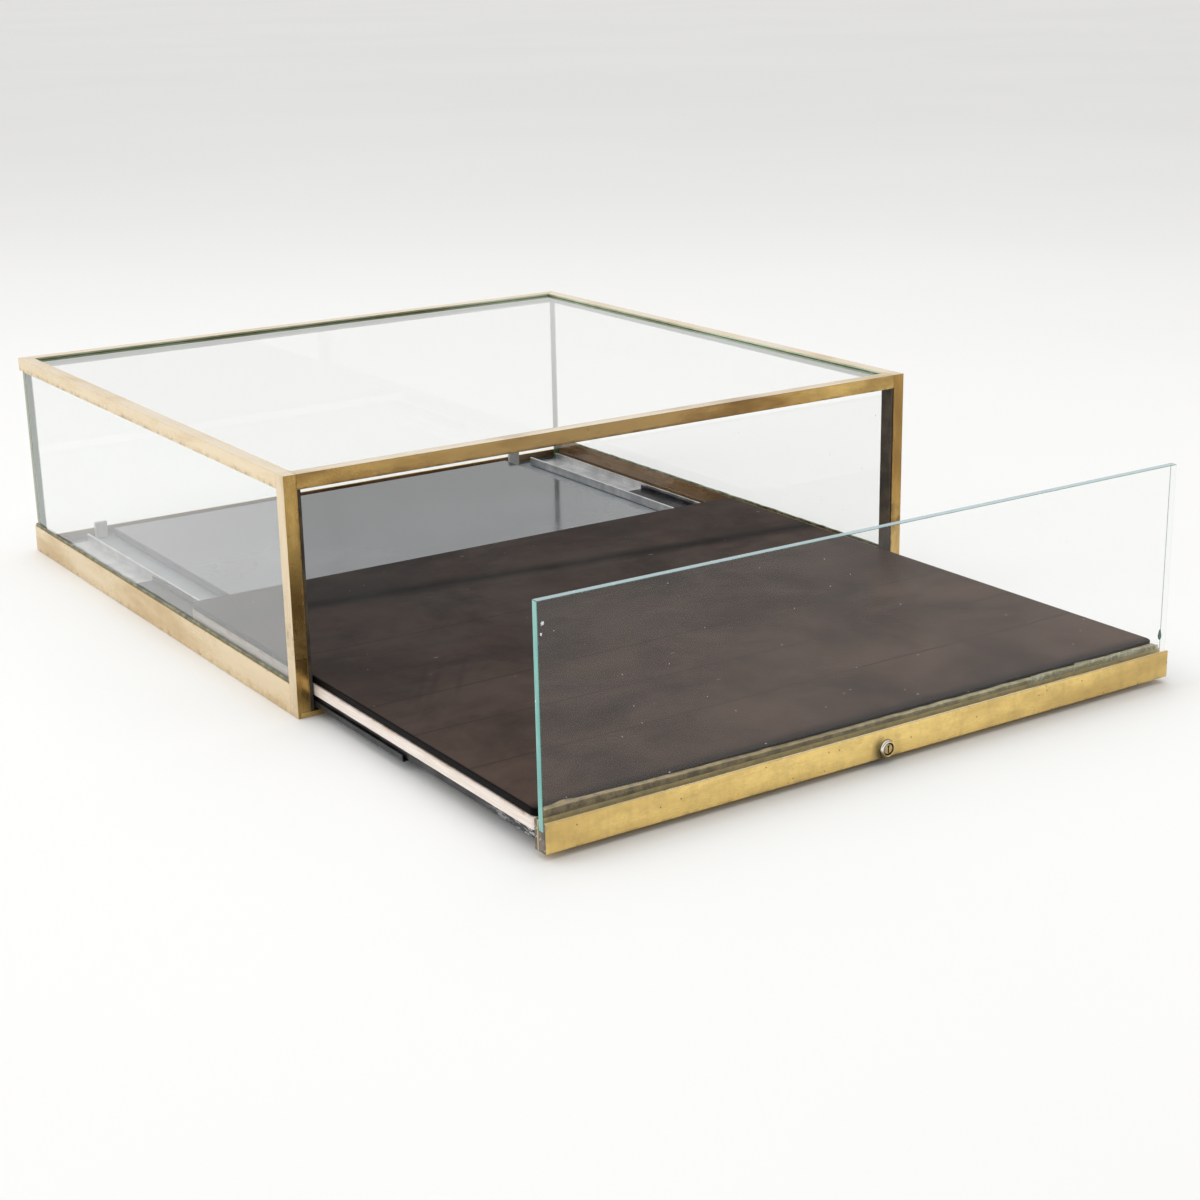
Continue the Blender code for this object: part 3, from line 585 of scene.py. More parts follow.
def frontBar():  # slotted for the pane, drilled for the lock
    low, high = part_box("front_bar")
    lockLow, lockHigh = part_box("lock_body")
    lockHeight = (lockLow.z + lockHigh.z) / 2
    bar = block("frontBar", low, high)
    slotFront = low.y + barShape["lip"]
    slotBack = slotFront + barShape["slot"]
    carve(bar, block("slot", (low.x - mm, slotFront, barShape["slotFloor"]),
                     (high.x + mm, slotBack, high.z + mm)))
    bpy.ops.mesh.primitive_cylinder_add(
        vertices=64, radius=barShape["lockHole"], depth=barShape["drill"],
        location=(0, low.y, lockHeight), rotation=(math.pi / 2, 0, 0))
    carve(bar, bpy.context.active_object)
    look = {"along": 0, "patina": 0.55, "seed": 11.2, "deep": 0.06, "cloudy": 0.28,
            "edges": [(2, low.z, 3.2 * mm), (0, low.x, 4.2 * mm), (0, high.x, 1.4 * mm)],
            "tarnish": brassTones["olive"], "pale": [(2, 1, 1.0)],
            "oxide": [(0, low.x, 0.5 * mm), (0, high.x, 0.4 * mm)], "glued": slotBack,
            "lock": (0, lockHeight)}
    install(soften(bar, barShape["soft"]), [brassFinish("brassFrontBar", look)], "front_bar")


frontBar()
print("front bar done")


glassLook = {
    "tint": (0.990, 0.996, 0.993), "straight": 0.04, "straightFront": 0.018, "haze": 0.06,
    "powder": (0.88, 0.90, 0.92), "chipTone": (0.80, 0.86, 0.84),
    "teal": ((0.09, 0.34, 0.31), (0.25, 0.50, 0.45)), "top": (0.25, 0.34, 0.37),
    "olive": ((0.15, 0.165, 0.075), (0.25, 0.27, 0.14)), "bond": ((0.14, 0.155, 0.07), (0.24, 0.26, 0.14)),
    "arris": ((0.05, 0.14, 0.09), (0.12, 0.24, 0.17)), "arrisWidth": 0.45 * mm, "bondSoft": 0.1 * mm,
}
paneFaces = {"glass_top": 2, "glass_back": 1, "glass_left": 0, "glass_right": 0, "front_glass": 1}
frontChips = ((3.6 * mm, 15 * mm, 1.5 * mm), (2.4 * mm, 22 * mm, 1.1 * mm))  # (in, down, radius) at its left


def clearFinish(name, straight, haze=0.0, chips=()):  # reflects that much straight on, and more at a slant
    finish = Finish(name)
    facing = finish.add("ShaderNodeLayerWeight", None, {"Blend": 0.5}, "Facing")
    single = straight + (1 - straight) * facing ** 5
    front = 1 - finish.add("ShaderNodeNewGeometry", out="Backfacing")
    through = finish.add("ShaderNodeBsdfTransparent", None, {"Color": (*glassLook["tint"], 1)})
    gloss = finish.add("ShaderNodeBsdfAnisotropic", None, {"Color": (1, 1, 1, 1), "Roughness": 0.0})
    pane = finish.mixShader(2 * single / (1 + single) * front, through, gloss)
    dust = finish.specks(55, 0.42 * mm, 0.16) * front
    film = 0.8 + 0.4 * finish.clouds(finish.place(), 9, 4, 0.6)
    powder = finish.add("ShaderNodeBsdfDiffuse", None, {"Color": (*glassLook["powder"], 1)})
    marks = (0.55 * dust).most(haze * film)
    x, z = finish.axes()[::2]
    for acrossAt, upAt, radius in chips:
        away = finish.distance(x - acrossAt, (z - upAt) * 0.7)
        away = away + 1.6 * radius * (finish.clouds(finish.place(), 900, 2) - 0.5)
        marks = marks.most((0.9 - 0.9 * away.between(0.5 * radius, 0.9 * radius)) * front)
    return finish.show(finish.mixShader(marks, pane, powder))


def edgeFinish(name, tones, glowing=0.05, solid=0.9, inside=0.03):  # how solid from outside and inside
    finish = Finish(name)
    streak = finish.clouds(finish.place((90, 90, 12)), 1.0, 4, 0.6).between(0.3, 0.7)
    base = finish.blend(streak, *tones)
    # edges turned up get a greyer blue: painted light from above
    base = finish.blend(finish.normals()[2].between(0.6, 0.95) * 0.9, base, glassLook["top"])
    base = finish.blend(finish.specks(240, 0.5 * mm, 0.05) * 0.7, base, glassLook["chipTone"])
    inward = finish.add("ShaderNodeNewGeometry", out="Backfacing")
    glow = finish.blend(1 - glowing, base, (0, 0, 0))  # painted glow: emission standing in for the light led along the pane and out at its edge
    shader = finish.principled(base, 0.16, finish.bump(streak, 0.03 * mm, 0.6), {
        "Alpha": solid - (solid - inside) * inward, "Coat Weight": 0.2, "Coat Roughness": 0.05, "IOR": 1.5,
        "Emission Color": glow, "Emission Strength": 1.0})
    return finish.show(shader)


def panes():
    low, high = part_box("front_glass")
    chips = [(low.x + across, high.z - down, radius) for across, down, radius in frontChips]
    clear = clearFinish("clearGlass", glassLook["straight"])
    faces = {
        "glass_left": clearFinish("clearGlassHazy", glassLook["straight"], glassLook["haze"]),
        "front_glass": clearFinish("clearGlassFront", glassLook["straightFront"], chips=chips),
    }
    teal = edgeFinish("glassEdge", glassLook["teal"], 0.22)
    arris = edgeFinish("glassArris", glassLook["arris"], 0.0, 0.75, 0.6)
    olive = edgeFinish("glassEdgeOlive", glassLook["olive"])
    for node, thin in paneFaces.items():
        pane = soften(block(pieceName(node), *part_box(node)), glassLook["arrisWidth"], 1)
        install(pane, [faces.get(node, clear), teal, olive, arris], node)
        for polygon in pane.data.polygons:
            slanted = max(abs(part) for part in polygon.normal) < 0.9
            broad = abs(polygon.normal[thin]) > 0.99
            polygon.material_index = 3 if slanted else 0 if broad else 2 if node == "glass_back" else 1


def cornerBonds():
    for word in sides:
        bond = soften(fromNode(f"corner_bond_{word}"), glassLook["bondSoft"], 1)
        finish = edgeFinish(f"bond{word.title()}", glassLook["bond"], inside=0.9)
        install(bond, [finish], f"corner_bond_{word}")


panes()
cornerBonds()
print("glass done")


sealantLook = {  # (dark, light, pitch of its lumps, roughness)
    "bead": ((0.085, 0.085, 0.045), (0.26, 0.25, 0.15), 120, 0.42),
    "strip": ((0.035, 0.026, 0.018), (0.10, 0.075, 0.045), 60, 0.5),
    "stop": ((0.40, 0.40, 0.385), (0.52, 0.52, 0.50), 90, 0.45),
    "glue": ((0.02, 0.07, 0.05), (0.06, 0.15, 0.10), 200, 0.1),
    # the packing is near-black: painted shade for the gap it fills
    "packing": ((0.006, 0.006, 0.006), (0.018, 0.017, 0.016), 80, 0.6),
}
sealShape = {
    "beadDeep": 0.25 * mm, "beadCuts": 90, "beadSway": 0.5 * mm, "beadPitch": 9 * mm, "beadSoft": 0.5 * mm,
    "stripCuts": 24, "stripSway": 0.12 * mm, "stripPitch": 12 * mm, "stripSoft": 0.4 * mm,
    "stopSoft": 1.0 * mm,
}


def sealantFinish(name, kind):
    dark, light, pitch, rough = sealantLook[kind]
    finish = Finish(name)
    lumps = finish.clouds(finish.place(), pitch, 5, 0.6)
    base = finish.blend(lumps.between(0.35, 0.68), dark, light)
    return finish.show(finish.principled(base, rough + 0.2 * lumps, finish.bump(lumps, 0.25 * mm, 0.5)))


def beads():
    finish = sealantFinish("oliveSealant", "bead")
    for word in sides:
        node = f"glazing_bead_{word}"
        low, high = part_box(node)
        low.z -= sealShape["beadDeep"]
        bead = block(pieceName(node), low, high)
        with editing(bead, "VERT"):
            cutAlong(1, low.y, high.y, sealShape["beadCuts"])
        sway(bead, sealShape["beadSway"], sealShape["beadPitch"],
             lambda spot: 1.0 if spot.z > low.z + mm else 0.0)
        install(soften(bead, sealShape["beadSoft"], 3), [finish], node)


def sealStrips():
    finish, stops = sealantFinish("sealStrip", "strip"), sealantFinish("backStop", "stop")
    for word in sides:
        node = f"side_seal_{word}"
        low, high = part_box(node)
        strip = block(pieceName(node), low, high)
        with editing(strip, "VERT"):
            cutAlong(2, low.z, high.z, sealShape["stripCuts"])
        sway(strip, sealShape["stripSway"], sealShape["stripPitch"])
        install(soften(strip, sealShape["stripSoft"], 3), [finish], node)
        stop = soften(fromNode(f"back_stop_{word}"), sealShape["stopSoft"], 4)
        install(stop, [stops], f"back_stop_{word}")


beddingShape = {
    "rise": 31.35 * mm, "lap": 0.3 * mm, "cuts": 170, "soft": 0.12 * mm,
    "drop": 2.4 * mm, "ripple": 0.5 * mm,  # how far its top sinks towards the right end
    "peak": 3.0 * mm, "peakAt": 24 * mm, "peakWide": 7 * mm, "peakReach": 16 * mm,
}
beddingTones = ((0.12, 0.088, 0.038), (0.33, 0.25, 0.115))
paleTones = ((0.30, 0.27, 0.15), (0.62, 0.56, 0.36))  # towards its right end


def beddingFinish():
    finish = Finish("bedding")
    lumps = finish.clouds(finish.place(), 140, 5, 0.6)
    runs = finish.clouds(finish.place((25, 700, 700)), 1.0, 3)
    lumpy = lumps.between(0.3, 0.7)
    paler = 0.55 * finish.axes()[0].between(-0.10, 0.12)
    base = finish.blend(paler, finish.blend(lumpy, *beddingTones), finish.blend(lumpy, *paleTones))
    base = finish.blend(0.4 * runs.between(0.5, 0.7), base, (0.40, 0.33, 0.19))
    normal = finish.bump(lumps + 0.4 * runs, 0.2 * mm, 0.5)
    return finish.show(finish.principled(base, 0.35 + 0.2 * lumps, normal, {"Specular IOR Level": 0.3}))


def bedding():
    low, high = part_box("glass_bedding")
    coverLow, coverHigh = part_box("tray_cover")
    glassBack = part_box("front_glass")[1].y
    film = coverHigh.z + 0.05 * mm
    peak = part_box("front_bar")[0].x + beddingShape["peakAt"]
    strip = block("glassBedding", (low.x, glassBack + 0.1 * mm, low.z),
                  (high.x, coverLow.y - 0.15 * mm, beddingShape["rise"]))
    with editing(strip):
        cutAlong(0, low.x, high.x, beddingShape["cuts"])
        cutAt((0, 0, film), (0, 0, 1))
        pickFaces(strip, lambda centre, normal: normal.y > 0.9 and centre.z > film
                  and abs(centre.x - peak) < beddingShape["peakReach"])
        push(0, beddingShape["lap"], 0)
    for vertex in strip.data.vertices:
        spot = vertex.co
        if spot.y > coverLow.y:  # smeared up over the cover's edge
            spot.y += beddingShape["peak"] * math.exp(-((spot.x - peak) / beddingShape["peakWide"]) ** 2)
        elif spot.z > low.z + mm:
            along = (spot.x - peak) / (high.x - peak)
            drop = min(max(along - 0.06, 0) * 2.4, 1) ** 0.6 * beddingShape["drop"]
            ripple = beddingShape["ripple"] * noise.noise(Vector((spot.x * 70, 7.7, 0)))
            spot.z -= drop - ripple * min(1, drop / mm)
    install(soften(strip, beddingShape["soft"], 1), [beddingFinish()], "glass_bedding")


dropShape = {"out": 3.0 * mm, "behind": 0.3 * mm, "height": 36 * mm, "wide": 1.4 * mm, "tall": 4.2 * mm}


def glueDrop():
    right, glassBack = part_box("glass_bedding")[1].x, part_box("front_glass")[1].y
    wide = dropShape["wide"]
    centre = Vector((right + dropShape["out"], glassBack - dropShape["behind"], dropShape["height"]))
    bpy.ops.mesh.primitive_uv_sphere_add(segments=24, ring_count=14, radius=wide, location=centre)
    blob = bpy.context.active_object
    blob.name = blob.data.name = "glueDrop"
    bpy.ops.object.transform_apply(location=True, rotation=True, scale=True)
    for vertex in blob.data.vertices:  # drawn out to a tail at the top
        x, y, up = (vertex.co - centre) / wide
        narrow = 1 - 0.35 * max(up, 0)
        tall = dropShape["tall"] * (1.25 if up > 0 else 0.8)
        vertex.co = centre + Vector((x * wide * narrow, y * wide * narrow, up * tall))
    bpy.ops.object.shade_smooth()
    install(blob, [sealantFinish("darkGlue", "glue")], body="tray", slot="glass_bedding")


tapePieces = (  # (start, end, height at its start and end)
    (148.0 * mm, 192.5 * mm, 5.4 * mm, 3.4 * mm),
    (193.0 * mm, 232.0 * mm, 6.6 * mm, 3.6 * mm),
    (232.5 * mm, 283.8 * mm, 5.2 * mm, 3.2 * mm),
)
tapeShape = {"above": 0.3 * mm, "from": 0.02 * mm, "to": 0.07 * mm, "cuts": 14, "torn": 0.4 * mm}


def tapeFinish(number, start, end):
    finish = Finish(f"clearTape{number}")
    x = finish.axes()[0]
    wrinkle = finish.clouds(finish.place((90, 90, 90)), 1.0, 4, 0.6).between(0.45, 0.7)
    rim = x.near(start, 0.7 * mm).most(x.near(end, 0.7 * mm))
    base = finish.blend(wrinkle.most(rim), (0.55, 0.53, 0.34), (0.86, 0.84, 0.68))
    return finish.show(finish.principled(base, 0.25, finish.bump(wrinkle, 0.2 * mm, 0.6),
                                         {"Alpha": 0.42 + 0.20 * wrinkle + 0.30 * rim, "IOR": 1.4}))


def tape():  # clear pieces, flat against the back of the pane
    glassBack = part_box("front_glass")[1].y
    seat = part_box("front_bar")[1].z + tapeShape["above"]
    for number, (start, end, rise, fall) in enumerate(tapePieces, start=1):
        strip = block(f"clearTape{number}", (start, glassBack + tapeShape["from"], seat),
                      (end, glassBack + tapeShape["to"], seat + rise))
        with editing(strip):
            cutAlong(0, start, end, tapeShape["cuts"])
        for vertex in strip.data.vertices:  # torn unevenly along its top
            spot = vertex.co
            if spot.z > seat + mm:
                spot.z += (fall - rise) * (spot.x - start) / (end - start)
                spot.z += tapeShape["torn"] * noise.noise(Vector((spot.x * 90, 2.2 * number, 0)))
        install(strip, [tapeFinish(number, start, end)], body="tray", slot="glass_bedding")


beads()
sealStrips()
bedding()
glueDrop()
tape()
print("sealants done")


coverLook = {
    "dark": (0.010, 0.0075, 0.0072), "mid": (0.028, 0.0195, 0.0175), "warm": (0.064, 0.042, 0.034),
    "edge": (0.005, 0.0045, 0.0045), "dust": (0.55, 0.50, 0.46), "faded": (0.125, 0.080, 0.060),
    "smear": (0.12, 0.08, 0.062), "scuff": (0.13, 0.098, 0.085), "shadow": ((-0.155, 0.12), (-0.105, 0.075)),
    "folds": ((1.50, -0.0136), (1.39, -0.0542), (1.44, -0.0759)),  # (slope, offset) of dark streaks, painted reflections that lie like short creases
    "streakAt": (-0.355, 0.06), "streakWide": 7 * mm, "bandWide": 19 * mm,
}
coverShape = {"corner": 7 * mm, "roll": 1.0 * mm}
creases = (  # (place on the tray, depth, half width, slant)
    (-0.150, 0.12 * mm, 3.5 * mm, -0.118), (-0.246, 0.05 * mm, 1.2 * mm, -0.02),
    (-0.372, 0.06 * mm, 1.4 * mm, 0.012), (-0.447, 0.05 * mm, 1.2 * mm, -0.01),
    (-0.520, 0.06 * mm, 1.4 * mm, 0.006),
)


def coverTone(finish, x, y, cloud, patch):
    smear = finish.clouds(finish.place((12, 85, 12), (0.4, 0, 0)), 1.0, 4, 0.55, 1.2).between(0.50, 0.78)
    scuff = finish.clouds(finish.place((34, 55, 34)), 1.0, 6, 0.7).between(0.45, 0.75)
    base = finish.blend(cloud, coverLook["dark"], coverLook["mid"])
    base = finish.blend(0.5 * patch, base, coverLook["warm"])
    faded = (x * 0.6 - y).between(0.05, 0.62) * (0.28 + 0.3 * patch)  # painted sheen, lighter towards the front right
    base = finish.blend(faded, base, coverLook["faded"])
    base = finish.blend(0.06 * smear, base, coverLook["smear"])
    base = finish.blend(0.07 * scuff, base, coverLook["scuff"])
    acrossAt, alongAt = coverLook["shadow"]
    return finish.blend(0.85 * x.near(*acrossAt) * y.near(*alongAt), base, coverLook["dark"])


def creaseTone(finish, x, y, cloud, patch, base):
    wander = finish.clouds(finish.place((9, 2, 2), (0, 4, 0)), 1.0, 2) - 0.5
    creaseShade = None
    for where, _, width, slant in creases:
        line = (y - slant * x + 5 * mm * wander).near(where, 1.8 * width)
        creaseShade = line if creaseShade is None else creaseShade.most(line)
    # painted shade along the creases
    base = finish.blend(0.45 * creaseShade * (0.3 + 0.7 * patch), base, coverLook["edge"])
    # dark streaks down the middle of the cover: painted reflections
    for slope, offset in coverLook["folds"]:
        reflectionStreak = (y - slope * x - offset).near(0, coverLook["streakWide"]) * y.near(*coverLook["streakAt"])
        reflectionStreak = 0.75 * reflectionStreak * (0.25 + 0.75 * cloud) * (0.4 + 0.6 * patch)
        base = finish.blend(reflectionStreak, base, coverLook["edge"])
    where, _, _, slant = creases[0]  # a wide band of painted shade from the front top rail lies over the deepest one
    railShadowBand = (y - slant * x).near(where, coverLook["bandWide"]) * x.between(-0.29, -0.24)
    return finish.blend(0.90 * railShadowBand * (0.7 + 0.3 * cloud), base, coverLook["edge"])


def coverFinish(low, high):
    finish = Finish("darkCover")
    spot = finish.place()
    x, y = finish.parts(spot)[:2]
    cloud = finish.clouds(spot, 9, 6, 0.62, 0.6).between(0.32, 0.70)
    patch = finish.clouds(finish.place((9, 9, 9), (3, 1, 0)), 1.0, 6, 0.66, 0.3).between(0.34, 0.68)
    leather = finish.clouds(spot, 160, 4, 0.6)
    base = coverTone(finish, x, y, cloud, patch)
    base = creaseTone(finish, x, y, cloud, patch, base)
    # painted shadow along the front edge; the black rim on the other edges is the cover's own
    front = y.near(low.y, 15 * mm)
    rim = x.near(low.x, 2.2 * mm).most(x.near(high.x, 2.2 * mm)).most(y.near(high.y, 2.2 * mm))
    base = finish.blend((0.95 * front * (0.7 + 0.3 * patch)).most(rim), base, coverLook["edge"])
    side = 1 - finish.normals()[2].between(0.3, 0.8)
    base = finish.blend(side, base, coverLook["edge"])
    lint = finish.specks(60, 0.9 * mm, 0.035) * (0.2 + y.near(low.y, 120 * mm))
    hair = finish.specks(26, 0.7 * mm, 0.10, 0.25)
    base = finish.blend((0.8 * lint).most(0.25 * hair), base, coverLook["dust"])
    rough = 0.46 + 0.10 * cloud - 0.06 * patch - 0.2 * side
    normal = finish.bump(0.15 * leather + 0.25 * cloud, 0.03 * mm, 0.5)
    return finish.show(finish.principled(base, rough, normal, {"Specular IOR Level": 0.025}))


def trayCover():
    low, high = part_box("tray_cover")
    cover = block("trayCover", low, high)
    with editing(cover, "EDGE"):
        roundCorners(cover, coverShape["corner"], 10)
        for where, _, width, slant in creases:
            for shift in (-width, 0, width):
                cutAt((0, where + shift, 0), (-slant, 1, 0))
    for where, depth, width, slant in creases:
        for vertex in cover.data.vertices:
            spot = vertex.co
            if abs(spot.y - slant * spot.x - where) < 0.2 * width and spot.z > high.z - mm:
                spot.z -= depth
    install(soften(cover, coverShape["roll"], 4, 45), [coverFinish(low, high)], "tray_cover")


boardShape = {
    "corner": 5 * mm, "soft": 0.4 * mm, "chip": (0.7 * mm, 8 * mm, 14 * mm, 1.6 * mm),
    "lockRecess": (10 * mm, 10 * mm, 5 * mm),  # half width, depth, height
}


def boardFinish(low, high):
    finish = Finish("creamBoard")
    z = finish.axes()[2]
    grain = finish.clouds(finish.place((40, 40, 900)), 1.0, 4, 0.6)
    stain = finish.clouds(finish.place(), 60, 5, 0.65).between(0.4, 0.7)
    base = finish.blend(grain.between(0.35, 0.7), (0.80, 0.70, 0.62), (0.92, 0.84, 0.77))
    # darker brown along its top: painted shade under the cover's edge, patchy
    top = z.near(high.z, 2.6 * mm) * (0.35 + 0.65 * stain)
    base = finish.blend(0.75 * top, base, (0.42, 0.29, 0.20))
    base = finish.blend(0.35 * stain * z.near(low.z, 1.2 * mm), base, (0.30, 0.24, 0.20))
    return finish.show(finish.principled(base, 0.5 + 0.2 * stain, finish.bump(grain, 0.08 * mm, 0.5)))


def trayBoard():
    low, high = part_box("tray_board")
    board = block("trayBoard", low, high)
    with editing(board, "EDGE"):
        roundCorners(board, boardShape["corner"], 8)
    inwards, start, end, deep = boardShape["chip"]
    carve(board, block("chip", (low.x - mm, low.y + start, high.z - deep),
                       (low.x + inwards, low.y + end, high.z + mm)))
    half, deep, tall = boardShape["lockRecess"]
    carve(board, block("lockRecess", (-half, low.y - mm, low.z - mm), (half, low.y + deep, low.z + tall)))
    install(soften(board, boardShape["soft"], 2), [boardFinish(low, high)], "tray_board")


trayCover()
trayBoard()
print("tray done")


slideShape = {"sheet": 1.2 * mm, "bend": 1.5 * mm, "lip": 0.7 * mm, "soft": 0.18 * mm, "touch": 0.01 * mm}
steelTones = {
    "zinc": ((0.52, 0.52, 0.53), (0.74, 0.74, 0.74)), "dark": ((0.030, 0.030, 0.034), (0.085, 0.083, 0.088)),
    "bare": (0.62, 0.62, 0.62),
}
scuffedOver = (8 * mm, 75 * mm)  # all rubbed, and none, this far behind the front bar


def steelFinish(name, tones, scuffs=None):
    finish = Finish(name)
    drawn = finish.clouds(finish.place((1100, 14, 1100)), 1.0, 3, 0.6)
    stain = finish.clouds(finish.place(), 45, 5, 0.6).between(0.35, 0.7)
    base = finish.blend(stain, *tones)
    base = finish.blend(0.3 * drawn.between(0.45, 0.7), base, [0.6 * part for part in tones[0]])
    rough, normal = 0.30 + 0.14 * stain + 0.12 * drawn, finish.bump(drawn, 0.03 * mm, 0.5)
    if scuffs:  # plating rubbed off near one end
        rubbed = finish.clouds(finish.place((260, 110, 420)), 1.0, 5, 0.7).between(0.48, 0.60)
        rubbed = rubbed * (1 - finish.axes()[1].between(*scuffs))
        base = finish.blend(rubbed, base, steelTones["bare"])
    return finish.show(finish.principled(base, rough, normal, {"Metallic": 0.85}))


def channel(word, run, webOnTop, lipped=False):  # a rolled steel channel, one of three in a slide
    low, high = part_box(f"slide_{word}_{run}")
    sheet, touch, up = slideShape["sheet"], slideShape["touch"], -1 if webOnTop else 1
    web = (high.z - sheet, high.z) if webOnTop else (low.z, low.z + sheet)
    foot = web[0] if webOnTop else web[1]
    corner = high.z if webOnTop else low.z
    piece = block(pieceName(f"slide_{run}_{word}"), (low.x, low.y, web[0]), (high.x, high.y, web[1]))
    with editing(piece):
        cutAt((low.x + sheet, 0, 0), (1, 0, 0))
        cutAt((high.x - sheet, 0, 0), (1, 0, 0))
        pickFaces(piece, lambda centre, normal: normal.z * up > 0.9 and abs(centre.z - foot) < touch
                  and (centre.x < low.x + sheet or centre.x > high.x - sheet))
        push(0, 0, up * (high.z - low.z - sheet))
        if lipped:
            cutAt((0, 0, high.z - sheet), (0, 0, 1))
            for side in sides.values():
                pickFaces(piece, lambda centre, normal: normal.x * side < -0.9 and centre.z > high.z - sheet
                          and side * (centre.x - (low.x + high.x) / 2) > 0)
                push(-side * slideShape["lip"], 0, 0)
    with editing(piece, "EDGE"):
        pickEdges(piece, lambda a, b: abs(a.y - b.y) > 0.1 and abs(a.z - corner) < touch
                  and min(abs(a.x - low.x), abs(a.x - high.x)) < touch)
        bpy.ops.mesh.bevel(offset=slideShape["bend"], segments=5, affect="EDGES")
    return soften(piece, slideShape["soft"], 2)


screwRows = {"slide": ((1, 2, 3), 0.12 * mm), "tray": ((1, 2), 0.15 * mm)}  # (their numbers, softened by)


def slides(zinc):
    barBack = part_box("front_bar")[1].y
    dark = steelFinish("darkSteel", steelTones["dark"], [barBack + reach for reach in scuffedOver])
    for word in sides:
        install(channel(word, "outer", False, True), [zinc], f"slide_{word}_outer")
        install(channel(word, "middle", False), [dark], f"slide_{word}_middle")
        install(channel(word, "inner", True), [dark], f"slide_{word}_inner")
        for kind, (numbers, soft) in screwRows.items():
            for number in numbers:
                node = f"{kind}_screw_{word}_{number}"
                install(soften(fromNode(node), soft), [zinc], node)
        # near-black packing strips: painted shade in the gap they fill
        packing = sealantFinish(f"packing{word.title()}", "packing")
        for slot in frame["nodes"][f"packing_strip_{word}"].material_slots:
            slot.material = packing.material


zincSteel = steelFinish("zincSteel", steelTones["zinc"])
slides(zincSteel)
print("slides done")


def deckFinish():
    finish = Finish("glossDeck")
    haze = finish.clouds(finish.place(), 7, 5, 0.6).between(0.35, 0.7)
    swirl = finish.clouds(finish.place((30, 220, 30)), 1.0, 4, 0.6)
    base = finish.blend(haze, (0.085, 0.088, 0.098), (0.12, 0.125, 0.135))
    base = finish.blend(0.6 * finish.axes()[1].between(0.0, 0.25), base, (0.035, 0.036, 0.040))
    base = finish.blend(0.4 * finish.specks(50, 0.6 * mm, 0.05), base, (0.70, 0.70, 0.69))
    rough = 0.07 + 0.05 * haze + 0.05 * swirl
    return finish.show(finish.principled(base, rough, finish.bump(haze, 0.05 * mm, 0.2), {"IOR": 1.5}))


def boardPaint():
    finish = Finish("greyBase")
    peel = finish.clouds(finish.place(), 500, 3)
    stain = finish.clouds(finish.place(), 16, 5, 0.6).between(0.4, 0.7)
    base = finish.blend(stain, (0.24, 0.26, 0.28), (0.17, 0.18, 0.20))
    return finish.show(finish.principled(base, 0.32 + 0.15 * stain, finish.bump(peel, 0.06 * mm, 0.4)))


baseShape = {"boardSoft": 0.3 * mm, "deckSoft": 1.0 * mm}


def baseAndDeck():
    install(soften(fromNode("base_board"), baseShape["boardSoft"]), [boardPaint()], "base_board")
    deck = block("deckPanel", *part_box("deck_panel"))
    install(soften(deck, baseShape["deckSoft"], 4), [deckFinish()], "deck_panel")


baseAndDeck()
print("base done")


lockShape = {
    "barrel": 5.2 * mm, "bore": 4.3 * mm, "ledge": 0.1 * mm, "rim": 1.75 * mm, "flange": 0.75 * mm,
    "dome": 1.45 * mm, "domeSteps": 7, "lead": (0.25 * mm, 2.15 * mm), "mouth": 1.4 * mm,
    "bezelSoft": 0.08 * mm, "plugSoft": 0.1 * mm, "nutSoft": 0.25 * mm, "camSoft": 0.15 * mm,
    "sharp": 40,  # degrees: gentler corners are left as they are
}
nickelTones = {
    "gold": (0.90, 0.72, 0.36), "worn": (0.60, 0.44, 0.18), "glow": (0.90, 0.68, 0.32),
    "shine": (0.98, 0.97, 0.93), "grime": (0.05, 0.04, 0.02),
}


def nickelFinish(centre):
    finish = Finish("wornNickel")
    x, z = finish.axes()[::2]
    wear = finish.clouds(finish.place(), 350, 5, 0.65).between(0.42, 0.66)
    lines = finish.clouds(finish.place((900, 900, 2600)), 1.0, 3)
    across, up = x - centre.x, z - centre.z
    away = finish.distance(across, up)
    base = finish.blend(wear, nickelTones["gold"], nickelTones["worn"])
    # painted highlight at the upper left of the dome; golden towards its lower right
    shine = (up - across).between(3 * mm, 6.5 * mm)
    base = finish.blend((across - up).between(-2 * mm, 5 * mm) * 0.85, base, nickelTones["glow"])
    base = finish.blend(0.9 * shine, base, nickelTones["shine"])
    # painted shade: the dark plug face and keyway, the gap ring round the plug and the lower left of the
    # dome
    grime = (1 - away.between(3.6 * mm, 4.9 * mm)) * (0.40 + 0.35 * wear)
    grime = grime.most((across + up).between(-7.5 * mm, -5.5 * mm) * -0.7 + 0.7)
    grime = grime.most(0.8 * away.near(4.5 * mm, 0.8 * mm))
    base = finish.blend(grime, base, nickelTones["grime"])
    rough = 0.10 + 0.14 * wear + 0.08 * lines - 0.05 * shine
    normal = finish.bump(wear + 0.3 * lines, 0.04 * mm, 0.6)
    return finish.show(finish.principled(base, rough, normal, {"Metallic": 1.0}))


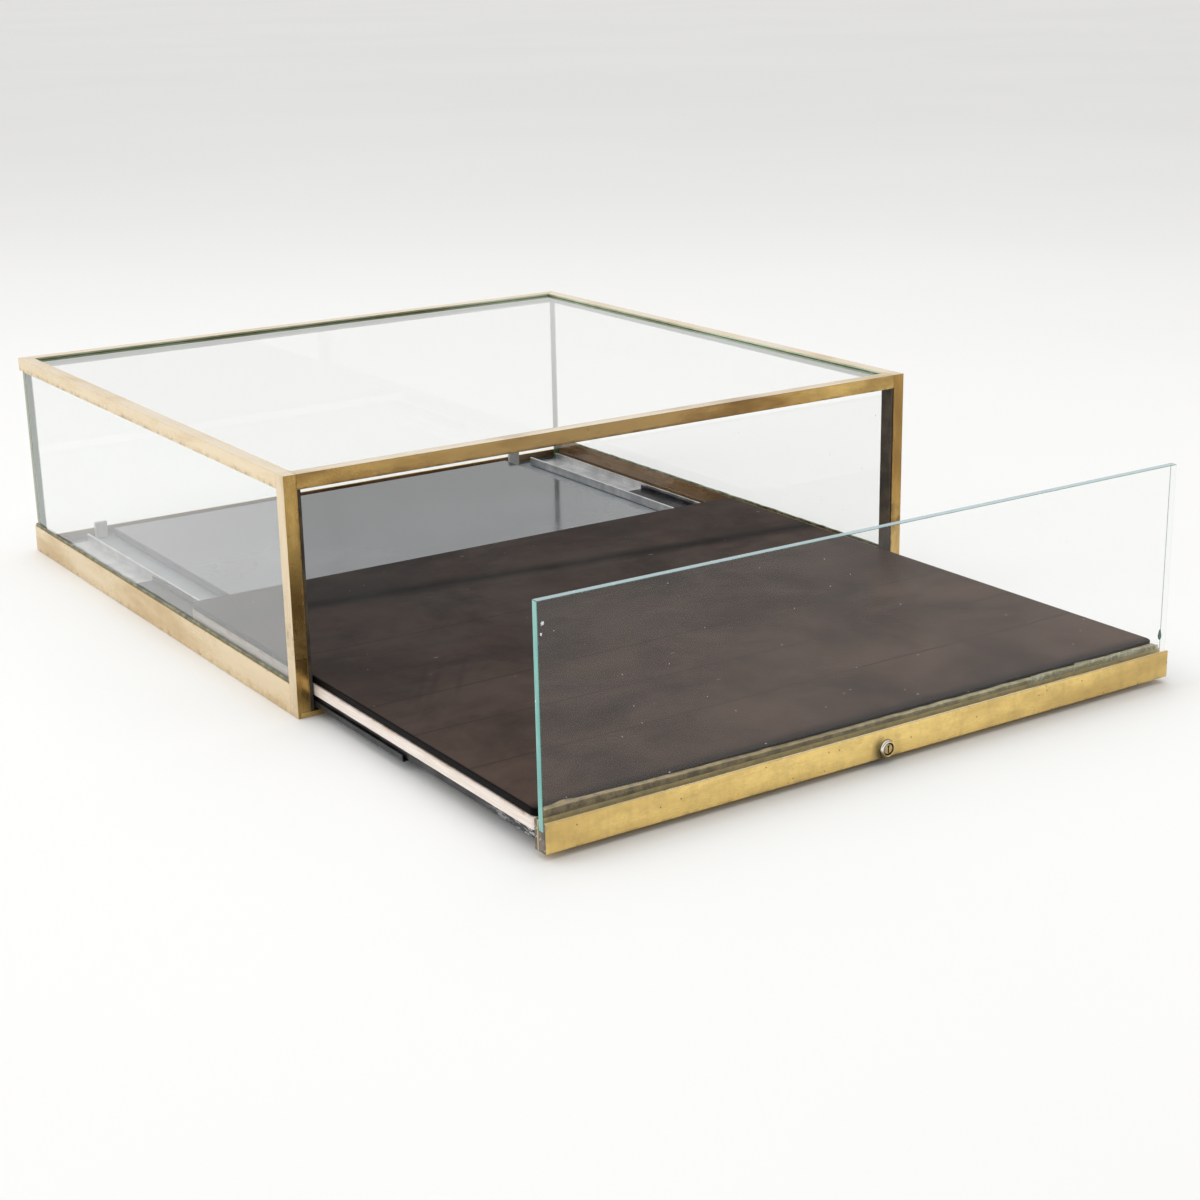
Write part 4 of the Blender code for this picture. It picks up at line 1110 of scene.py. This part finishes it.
def spun(name, profile, centre, steps=72):  # (radius, how far out in front) turned about a line
    bpy.ops.mesh.primitive_plane_add(size=mm, location=(0, 0, 0))
    piece = bpy.context.active_object
    piece.name = piece.data.name = name
    points = [centre + Vector((radius, -out, 0)) for radius, out in profile]
    with editing(piece, "VERT"):
        bpy.ops.mesh.select_all(action="SELECT")
        bpy.ops.mesh.merge(type="CENTER")
        bpy.ops.transform.translate(value=points[0])
        for start, end in zip(points, points[1:]):
            push(*(end - start))
        bpy.ops.mesh.select_all(action="SELECT")
        bpy.ops.mesh.spin(steps=steps, angle=2 * math.pi, center=centre, axis=(0, 1, 0))
        bpy.ops.mesh.select_all(action="SELECT")
        bpy.ops.mesh.remove_doubles(threshold=0.005 * mm)
        bpy.ops.mesh.normals_make_consistent(inside=False)
    return piece


def bezel(low, high, centre):
    outer, back = (high.x - low.x) / 2, high.y - centre.y
    barrel, bore, ledge = lockShape["barrel"], lockShape["bore"], lockShape["ledge"]
    rim, steps = lockShape["rim"], lockShape["domeSteps"]
    turns = [math.pi / 2 * step / steps for step in range(steps + 1)]
    dome = [(outer - rim + rim * math.cos(turn), lockShape["flange"] + lockShape["dome"] * math.sin(turn))
            for turn in turns]
    inwards, out = lockShape["lead"]
    mouth = (bore, lockShape["mouth"])
    profile = [mouth, (bore, -back), (barrel, -back), (barrel, ledge), (outer, ledge), *dome,
               (bore + inwards, out), mouth]
    return spun("lockBezel", profile, centre)


def lock(steel):
    low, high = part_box("lock_body")
    centre = Vector(((low.x + high.x) / 2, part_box("front_bar")[0].y, (low.z + high.z) / 2))
    nickel, sharp = nickelFinish(centre), lockShape["sharp"]
    install(soften(bezel(low, high, centre), lockShape["bezelSoft"], 2, sharp), [nickel], "lock_body")
    install(soften(fromNode("lock_plug"), lockShape["plugSoft"], 2, sharp), [nickel], "lock_plug")
    install(soften(fromNode("lock_nut"), lockShape["nutSoft"], 2, sharp), [nickel], "lock_nut")
    for node in ("lock_cam", "cam_screw"):
        install(soften(fromNode(node), lockShape["camSoft"], 2, sharp), [steel], node)


lock(zincSteel)
print("lock done")
